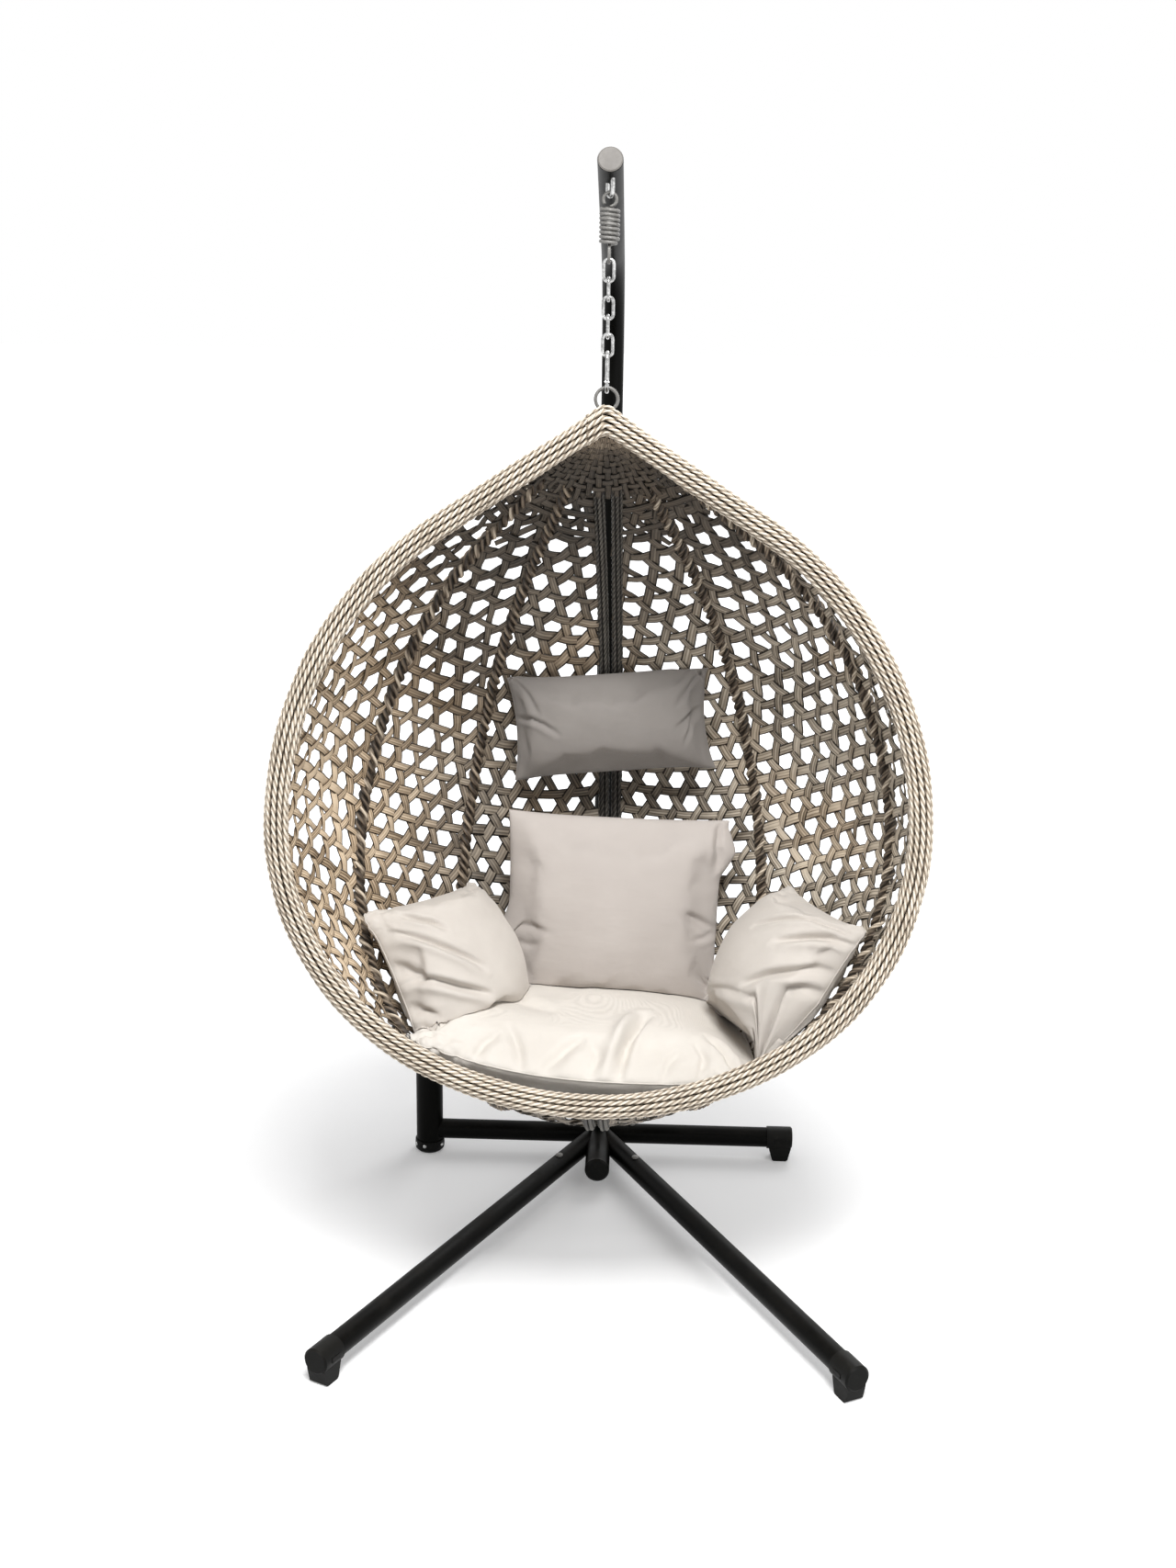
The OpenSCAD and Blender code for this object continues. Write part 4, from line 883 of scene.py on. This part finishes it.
def stuffed(wide, tall, crown, belly, pull, ears, flap, cells):
    """A plump cover lying flat: its points, faces, and each point's u, v and side.

    Pull draws in the left, right, top and foot edge; ears push out the four corners, from the
    top left one clockwise; a flap stands out of the right edge near its top."""
    nx, ny = cells, round(cells * tall / wide)
    us, vs = (0.5 * np.sin(even * math.pi / 2) + 0.5 * even
              for even in (np.linspace(-1, 1, nx + 1), np.linspace(-1, 1, ny + 1)))
    index, rows, faces = {}, [], []
    for layer in (1, -1):
        for j, v in enumerate(vs):
            for i, u in enumerate(us):
                if layer < 0 and (i in (0, nx) or j in (0, ny)):
                    index[layer, i, j] = index[1, i, j]
                    continue
                index[layer, i, j] = len(rows)
                rows.append((u, v, layer * (i not in (0, nx) and j not in (0, ny))))
        for j in range(ny):
            for i in range(nx):
                q = [index[layer, x, y] for x, y in ((i, j), (i + 1, j), (i + 1, j + 1), (i, j + 1))]
                faces.append(q if layer > 0 else q[::-1])
    u, v, side = np.array(rows).T
    left, right, top, foot = pull
    x = wide / 2 * u * (1 - np.where(u < 0, left, right) * (1 - v * v) * u * u)
    y = tall / 2 * v * (1 - np.where(v < 0, foot, top) * (1 - u * u) * v * v)
    for (cu, cv), ear in zip(((-1, 1), (1, 1), (1, -1), (-1, -1)), ears):
        grow = np.clip(cu * u, 0, 1) ** 9 * np.clip(cv * v, 0, 1) ** 9 * ear
        x, y = x + cu * grow, y + cv * grow
    x = x + flap * np.clip(u, 0, 1) ** 10 * np.maximum(0, 1 - np.abs((v - 0.68) / 0.24)) ** 0.8
    swell = np.maximum(0, (1 - u * u) * (1 - v * v)) ** 0.47
    z = np.where(side > 0, crown, -belly) * swell * (side != 0)
    return np.stack([x, y, z], -1), faces, u, v, side


def shortened(move, longest):
    """The same moves, none of them longer than the longest allowed."""
    return move * np.minimum(1, longest / np.maximum(np.linalg.norm(move, axis=1, keepdims=True), 1e-9))


def filled(points, faces, side, gather, cap):
    """The cover after its filling has pushed it out, no point moved by more than its cap."""
    mesh = bpy.data.meshes.new("cover")
    mesh.from_pydata(points, [], faces)
    cover = bpy.data.objects.new("cover", mesh)
    scene.collection.objects.link(cover)
    drawn = cover.vertex_groups.new(name="seam")
    drawn.add([int(k) for k in np.flatnonzero(side == 0)], 1.0, "REPLACE")
    cloth = cover.modifiers.new("fill", "CLOTH")
    settings = cloth.settings
    settings.quality = 6
    settings.mass = 0.25
    settings.tension_stiffness = settings.compression_stiffness = 22
    settings.shear_stiffness = 8
    settings.bending_stiffness = 0.25
    settings.use_pressure = True
    settings.uniform_pressure_force = PRESSURE
    settings.vertex_group_shrink = "seam"
    settings.shrink_min, settings.shrink_max = -0.02, gather
    settings.effector_weights.gravity = 0
    cloth.collision_settings.use_collision = False
    cloth.point_cache.frame_end = FILLING_FRAMES
    for f in range(1, FILLING_FRAMES + 1):
        scene.frame_set(f)
    blown = np.array([v.co for v in cover.evaluated_get(bpy.context.evaluated_depsgraph_get()).data.vertices])
    scene.frame_set(1)
    bpy.data.objects.remove(cover)
    move = blown - points
    return points + shortened(move - move.mean(0), cap[:, None])


def creased(points, normals, u, v, side, half, creases, deepen):
    """Sinks each crease and lifts its lip.

    A crease is a line of (u, v) places, a depth, a half width (both in millimetres) and its
    lip's share of the depth. Its wall on the line's left is steep, the other one gentle."""
    flat = np.stack([u * half[0], v * half[1]], -1)
    moved = points.copy()
    for line, depth, width, lip in creases:
        line = np.array(line, float) * half
        steps = np.linalg.norm(np.diff(line, axis=0), axis=1)
        best, at, left_of = np.full(len(points), 1e9), np.zeros(len(points)), np.zeros(len(points))
        for k, (a, b) in enumerate(zip(line[:-1], line[1:])):
            t = np.clip(((flat - a) @ (b - a)) / (steps[k] ** 2), 0, 1)
            off = flat - (a + t[:, None] * (b - a))
            d = np.linalg.norm(off, axis=1)
            near = d < best
            best = np.where(near, d, best)
            at = np.where(near, (steps[:k].sum() + t * steps[k]) / steps.sum(), at)
            left_of = np.where(near, np.sign((b - a)[0] * off[:, 1] - (b - a)[1] * off[:, 0]), left_of)
        taper = np.sin(math.pi * np.clip(at * 0.94 + 0.03, 0, 1)) ** 0.7
        d = best * 1000 / width
        gentle = -np.exp(-(d / 0.95) ** 1.4) + lip * np.exp(-((d - 1.7) / 0.9) ** 2)
        steep = -np.exp(-(d / 0.42) ** 2) + 0.3 * abs(lip) * np.exp(-((d - 1.1) / 0.7) ** 2)
        drop = np.where(left_of < 0, gentle, steep) * depth * deepen
        moved += normals * (drop * taper * (side > 0) / 1000)[:, None]
    return moved


def halved(name, points, faces, places):
    """The cover's mesh with every face split in four; returns it, its seam and each point's u, v and side."""
    coarse = bpy.data.meshes.new(name)
    coarse.from_pydata(points, [], faces)
    carried = coarse.attributes.new("places", "FLOAT_VECTOR", "POINT").data
    carried.foreach_set("vector", places.astype(np.float32).ravel())
    cover = bpy.data.objects.new("cover", coarse)
    scene.collection.objects.link(cover)
    cover.modifiers.new("finer", "SUBSURF").levels = 1
    mesh = bpy.data.meshes.new_from_object(cover.evaluated_get(bpy.context.evaluated_depsgraph_get()))
    bpy.data.objects.remove(cover)
    mesh.name = name
    found = np.empty(len(mesh.vertices) * 3, np.float32)
    mesh.attributes["places"].data.foreach_get("vector", found)
    mesh.attributes.remove(mesh.attributes["places"])
    u, v, side = found.reshape(-1, 3).T
    reach = np.maximum(np.abs(u), np.abs(v))
    on_seam = np.flatnonzero(reach > 1 - 1e-5)
    seam = on_seam[np.argsort(np.arctan2(v[on_seam], u[on_seam]))]
    return mesh, seam, u, v, side


def cloth_finish(name, deep, pale):
    """Matt woven polyester: a fine crossed thread, soft clouding, and crumples too small to model."""
    made, principled, w = finish(name, roughness=0.92, Sheen_Weight=0.18, Sheen_Roughness=0.45,
                                 Specular_IOR_Level=0.15)
    on = object_place(w)
    warp, weft = (w.node("TexWave", {"bands_direction": way},
                         {"Vector": on, "Scale": 420, "Distortion": 0.8}, out="Fac") for way in ("X", "Z"))
    weave = warp * weft
    clouding = noise(w, on, 7, 4)
    crumple = noise(w, w.node("VectorMath", {"operation": "MULTIPLY"}, {0: on, 1: (13, 13, 26)}), 1.0, 3)
    feed(principled,
         Base_Color=(clouding.steep(0.3, 0.75) * 0.75 + weave * 0.25).mixed(deep, pale),
         Normal=bump(w, crumple * 12.0 + weave, 0.00035, 0.6))
    return made


def turn(x, y, z, *angles):
    """A place to lie in: moved to x, y, z, then turned about its own axes one after another."""
    made = Matrix.Translation((x, y, z))
    for axis, degrees in angles:
        made = made @ Matrix.Rotation(math.radians(degrees), 4, axis)
    return made


def set_points(mesh, points):
    mesh.vertices.foreach_set("co", points.astype(np.float32).ravel())
    mesh.update()


def cushion(name, node, cloth, size, placed, creases, pull, ears=(0, 0, 0, 0), flap=0, bow=(0, 0, 0),
            rumple=0.0, lump=0.004, deepen=1.25, neighbours=(), cells=54, gather=0.03):
    """Makes one cushion: plump form, filling, crumples and lumps, pressed into its place, then creased.

    Its size is wide, tall, crown, belly. Bow lifts its left and right foot corner and sets both
    back. Rumple crumples its corners, lump rolls its faces, deepen scales all its creases."""
    points, faces, u, v, side = stuffed(*size, pull, ears, flap, cells)
    inner = ((1 - u * u) * (1 - v * v)) ** 0.5
    points = filled(points, faces, side, gather, CORNER_REACH + FREE_REACH * inner)
    mesh, seam, u, v, side = halved(name, points, faces, np.stack([u, v, side], -1))
    points = np.array([p.co for p in mesh.vertices])
    edges = np.array([e.vertices for e in mesh.edges])
    normals = np.array([n.vector for n in mesh.vertex_normals])
    corner = (np.abs(u) * np.abs(v)) ** 3
    crumple = np.array([noise_at(Vector(p) * 55) + 0.5 * noise_at(Vector(p) * 130) for p in points])
    lumps = np.array([noise_at(Vector((p[0] * 11, p[1] * 11, face + size[1] * 70)))
                      for p, face in zip(points, side * 3)])
    inner = (1 - u * u) * (1 - v * v)
    points = points + normals * (rumple * corner * crumple + lump * lumps * np.minimum(1, inner * 5))[:, None]
    turned = np.array(placed)
    foremost = (0.5 - 0.5 * v) * u * u
    points = points @ turned[:3, :3].T + turned[:3, 3] + np.outer(foremost, (0, bow[2], 0))
    points[:, 2] += foremost * np.where(u < 0, bow[0], bow[1])
    for _ in range(3):
        points = pressed(points, neighbours)
        free = softened(points, edges, 1, 0.3)
        free[seam] = points[seam]
        points = free
    calm = softened(points, edges, 5)
    stray = np.linalg.norm(calm - points, axis=1, keepdims=True)
    points = points + (calm - points) * np.clip((stray - CALM_FROM) / CALM_OVER, 0, 1)
    set_points(mesh, points)
    normals = np.array([n.vector for n in mesh.vertex_normals])
    points = creased(points, normals, u, v, side, (size[0] / 2, size[1] / 2), creases, deepen)
    points = points + shortened(pressed(points, neighbours) - points, LAST_PUSH)
    mesh.polygons.foreach_set("use_smooth", np.ones(len(mesh.polygons), bool))
    set_points(mesh, points)
    mesh.materials.append(cloth)
    piece = bpy.data.objects.new(name, mesh)
    scene.collection.objects.link(piece)
    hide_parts(node)
    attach(piece, "basket")
    line = points[np.append(seam, seam[0])]
    edge_seam = skein(name + "_seam", [swept(line, WELT_R, 6, normals[seam[0]])], cloth)
    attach(edge_seam, "basket")
    return piece


# ---------------------------------------------------------------- cushions: seat
# The largest, lying across the foot of the basket: its front seam follows the rim
# and its two front corners are crumpled against the ribs.
hub_y = (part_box("lower_pole")[0].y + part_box("lower_pole")[1].y) / 2
seat_cloth = cloth_finish("seat cloth", (0.665, 0.625, 0.57), (0.74, 0.70, 0.645))
seat = cushion("seat_cushion_cover", "seat_cushion", seat_cloth, (0.600, 0.410, 0.040, 0.062),
               turn(-0.006, hub_y - 0.489, 0.464, ("Z", -2), ("Y", 2), ("X", -3)),
               creases=(([(0.31, -0.22), (0.25, -0.54), (0.21, -0.80), (0.19, -1.0)], 13, 13, 0.9),
                        ([(-0.46, -0.60), (-0.38, -0.82), (-0.34, -1.0)], 7, 14, 0.3),
                        ([(-0.24, -1.0), (-0.13, -0.80), (-0.02, -0.66)], 7, 14, 0.4),
                        ([(-0.62, -1.0), (-0.58, -0.84), (-0.50, -0.72)], 5, 11, 0.5),
                        ([(0.02, -1.0), (0.06, -0.86), (0.02, -0.74)], 4, 10, 0.5),
                        ([(0.42, -1.0), (0.46, -0.84), (0.52, -0.74)], 4, 11, 0.5),
                        ([(-0.50, 0.30), (-0.42, -0.02), (-0.20, -0.25)], 7, 34, 0.2),
                        ([(0.62, -1.0), (0.66, -0.80), (0.60, -0.62)], 5, 12, 0.4),
                        ([(0.86, -0.95), (0.80, -0.72), (0.66, -0.50)], 6, 10, 0.6),
                        ([(-0.97, -0.80), (-0.84, -0.70), (-0.70, -0.44)], 7, 9, 0.6)),
               pull=(0.05, 0.05, 0.03, -0.03), bow=(0.038, 0.010, 0.024),
               rumple=0.020, lump=0.006, deepen=1.6, cells=76)

# ---------------------------------------------------------------- cushions: zip pull
# The cast slider tab at the end of the seat cover's zip, a small oval loop hanging
# from its front left corner.
TAB_HALF_W, TAB_HALF_H, TAB_R = 0.0034, 0.0085, 0.0016
corner_at = min((p.co for p in seat.data.vertices), key=lambda q: q.x + 1.2 * q.y)
a = np.linspace(0, 2 * math.pi, 33)[:-1]
tab = np.stack([TAB_HALF_W * np.cos(a) + corner_at.x + 0.004, 0 * a + corner_at.y - 0.006,
                TAB_HALF_H * np.sin(a) + corner_at.z - 0.002], -1)
zip_pull = skein("zip_pull", [swept(np.concatenate([tab, tab[:2]]), TAB_R, 8, (0, 1, 0))], bright_zinc)
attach(zip_pull, "basket")

# ---------------------------------------------------------------- cushions: back
# A square cushion that stands on the seat and leans on the spine. Its sides are
# pinched in by the arms, and a folded flap of its cover sticks out at the top right.
back_cloth = cloth_finish("back cloth", (0.475, 0.432, 0.40), (0.53, 0.485, 0.45))
back = cushion("back_cushion_cover", "back_cushion", back_cloth, (0.405, 0.375, 0.054, 0.040),
               turn(0.026, hub_y - 0.322, 0.626, ("Y", 1.5), ("X", 78)),
               pull=(0.03, 0.06, 0.01, 0.03), flap=0.024,
               creases=(([(-1.0, -0.10), (-0.80, -0.09), (-0.55, -0.13)], 4.5, 9, 0.15),
                        ([(-0.98, -0.26), (-0.82, -0.28), (-0.66, -0.24)], 3, 8, 0.2),
                        ([(0.66, 0.12), (0.82, 0.06), (1.0, -0.06)], 5.5, 8, -0.3),
                        ([(0.78, -0.16), (0.90, -0.14), (1.0, -0.08)], 3, 7, 0.3),
                        ([(0.93, 0.98), (0.91, 0.76), (0.95, 0.50)], 8, 7, 0.3)),
               neighbours=[(seat, (0, 0, 1))], cells=58)

# ---------------------------------------------------------------- cushions: headrest
# A small oblong cushion high on the wall, its cloth toned darker than the others' as painted shade,
# its corners drawn out and its filling pushed away from both short sides.
# The darker tone of this cloth is painted shade.
head_cloth = cloth_finish("headrest cloth", (0.235, 0.216, 0.20), (0.285, 0.264, 0.245))
cushion("headrest_cover", "headrest", head_cloth, (0.372, 0.192, 0.044, 0.030),
        turn(0.013, hub_y - 0.228, 0.962, ("X", 86), ("Z", 5)), pull=(0.05, 0.07, 0.02, 0.0),
        ears=(0.003, 0.010, 0.002, 0.001), gather=0.015, lump=0.002, cells=60,
        creases=(([(-1.0, 0.22), (-0.80, 0.24), (-0.66, 0.14), (-0.50, -0.06)], 6, 6, 0.5),
                 ([(-0.96, 0.95), (-0.82, 0.66), (-0.70, 0.32)], 4, 8, 0.3),
                 ([(0.64, -0.10), (0.81, 0.08), (0.98, 0.20)], 5, 6, -0.4),
                 ([(0.72, -0.42), (0.84, -0.08), (0.96, 0.16)], 4, 6, 0.4),
                 ([(0.98, 0.90), (0.84, 0.60), (0.66, 0.28)], 5, 8, 0.4)))

# ---------------------------------------------------------------- cushions: arms
# A pair, set on one corner against the side walls with the filling pushed inwards,
# so that the cover folds in long creases from its outer edge.
arm_cloth = cloth_finish("arm cloth", (0.565, 0.522, 0.475), (0.645, 0.60, 0.548))
cushion("left_arm_cover", "left_arm_cushion", arm_cloth, (0.286, 0.266, 0.082, 0.046),
        turn(-0.254, hub_y - 0.462, 0.580, ("Z", 54), ("X", 56), ("Z", -3)), pull=(0.03, 0.04, 0.05, 0.04),
        creases=(([(-0.72, 0.78), (-0.59, 0.62), (-0.49, 0.53), (-0.38, 0.38)], 8, 7, 0.5),
                 ([(-0.92, 0.62), (-0.74, 0.42), (-0.51, 0.16), (-0.12, -0.24)], 9, 8, 0.5),
                 ([(-1.0, 0.25), (-0.94, 0.04), (-0.84, -0.12)], 8, 9, 0.4),
                 ([(-0.97, -0.06), (-0.78, -0.16), (-0.51, -0.36), (-0.14, -0.58)], 10, 8, 0.5),
                 ([(-1.0, -0.32), (-0.96, -0.46), (-0.82, -0.60)], 6, 8, 0.4),
                 ([(-1.0, -0.74), (-0.86, -0.74), (-0.55, -0.80)], 5, 8, 0.3)),
        rumple=0.010, deepen=1.7, neighbours=[(seat, (0, 0, 1)), (back, (-0.6, -0.8, 0))])
cushion("right_arm_cover", "right_arm_cushion", arm_cloth, (0.286, 0.266, 0.082, 0.046),
        turn(0.318, hub_y - 0.522, 0.606, ("Z", -68), ("X", 56), ("Z", 2)), pull=(0.04, 0.02, 0.06, 0.03),
        creases=(([(-0.06, 0.30), (0.25, 0.55), (0.51, 0.74), (0.93, 0.86)], 6, 7, 0.7),
                 ([(0.40, 0.28), (0.69, 0.55), (0.85, 0.68), (1.0, 0.76)], 10, 9, 0.5),
                 ([(0.30, -0.38), (0.55, -0.11), (0.84, 0.14), (1.0, 0.34)], 11, 9, 0.5),
                 ([(0.46, -0.48), (0.76, -0.22), (0.94, -0.02), (1.0, 0.06)], 8, 7, 0.5),
                 ([(0.20, -0.98), (0.60, -0.84), (0.94, -0.69), (1.0, -0.60)], 7, 8, 0.6),
                 ([(0.80, -0.60), (0.92, -0.50), (1.0, -0.44)], 3, 6, 0.4),
                 ([(-0.50, -0.72), (0.06, -0.55), (0.66, -0.42)], 3, 9, 0.8)),
        ears=(0, 0, -0.008, 0), rumple=0.008, deepen=1.35,
        neighbours=[(seat, (0, 0, 1)), (back, (0.6, -0.8, 0))])
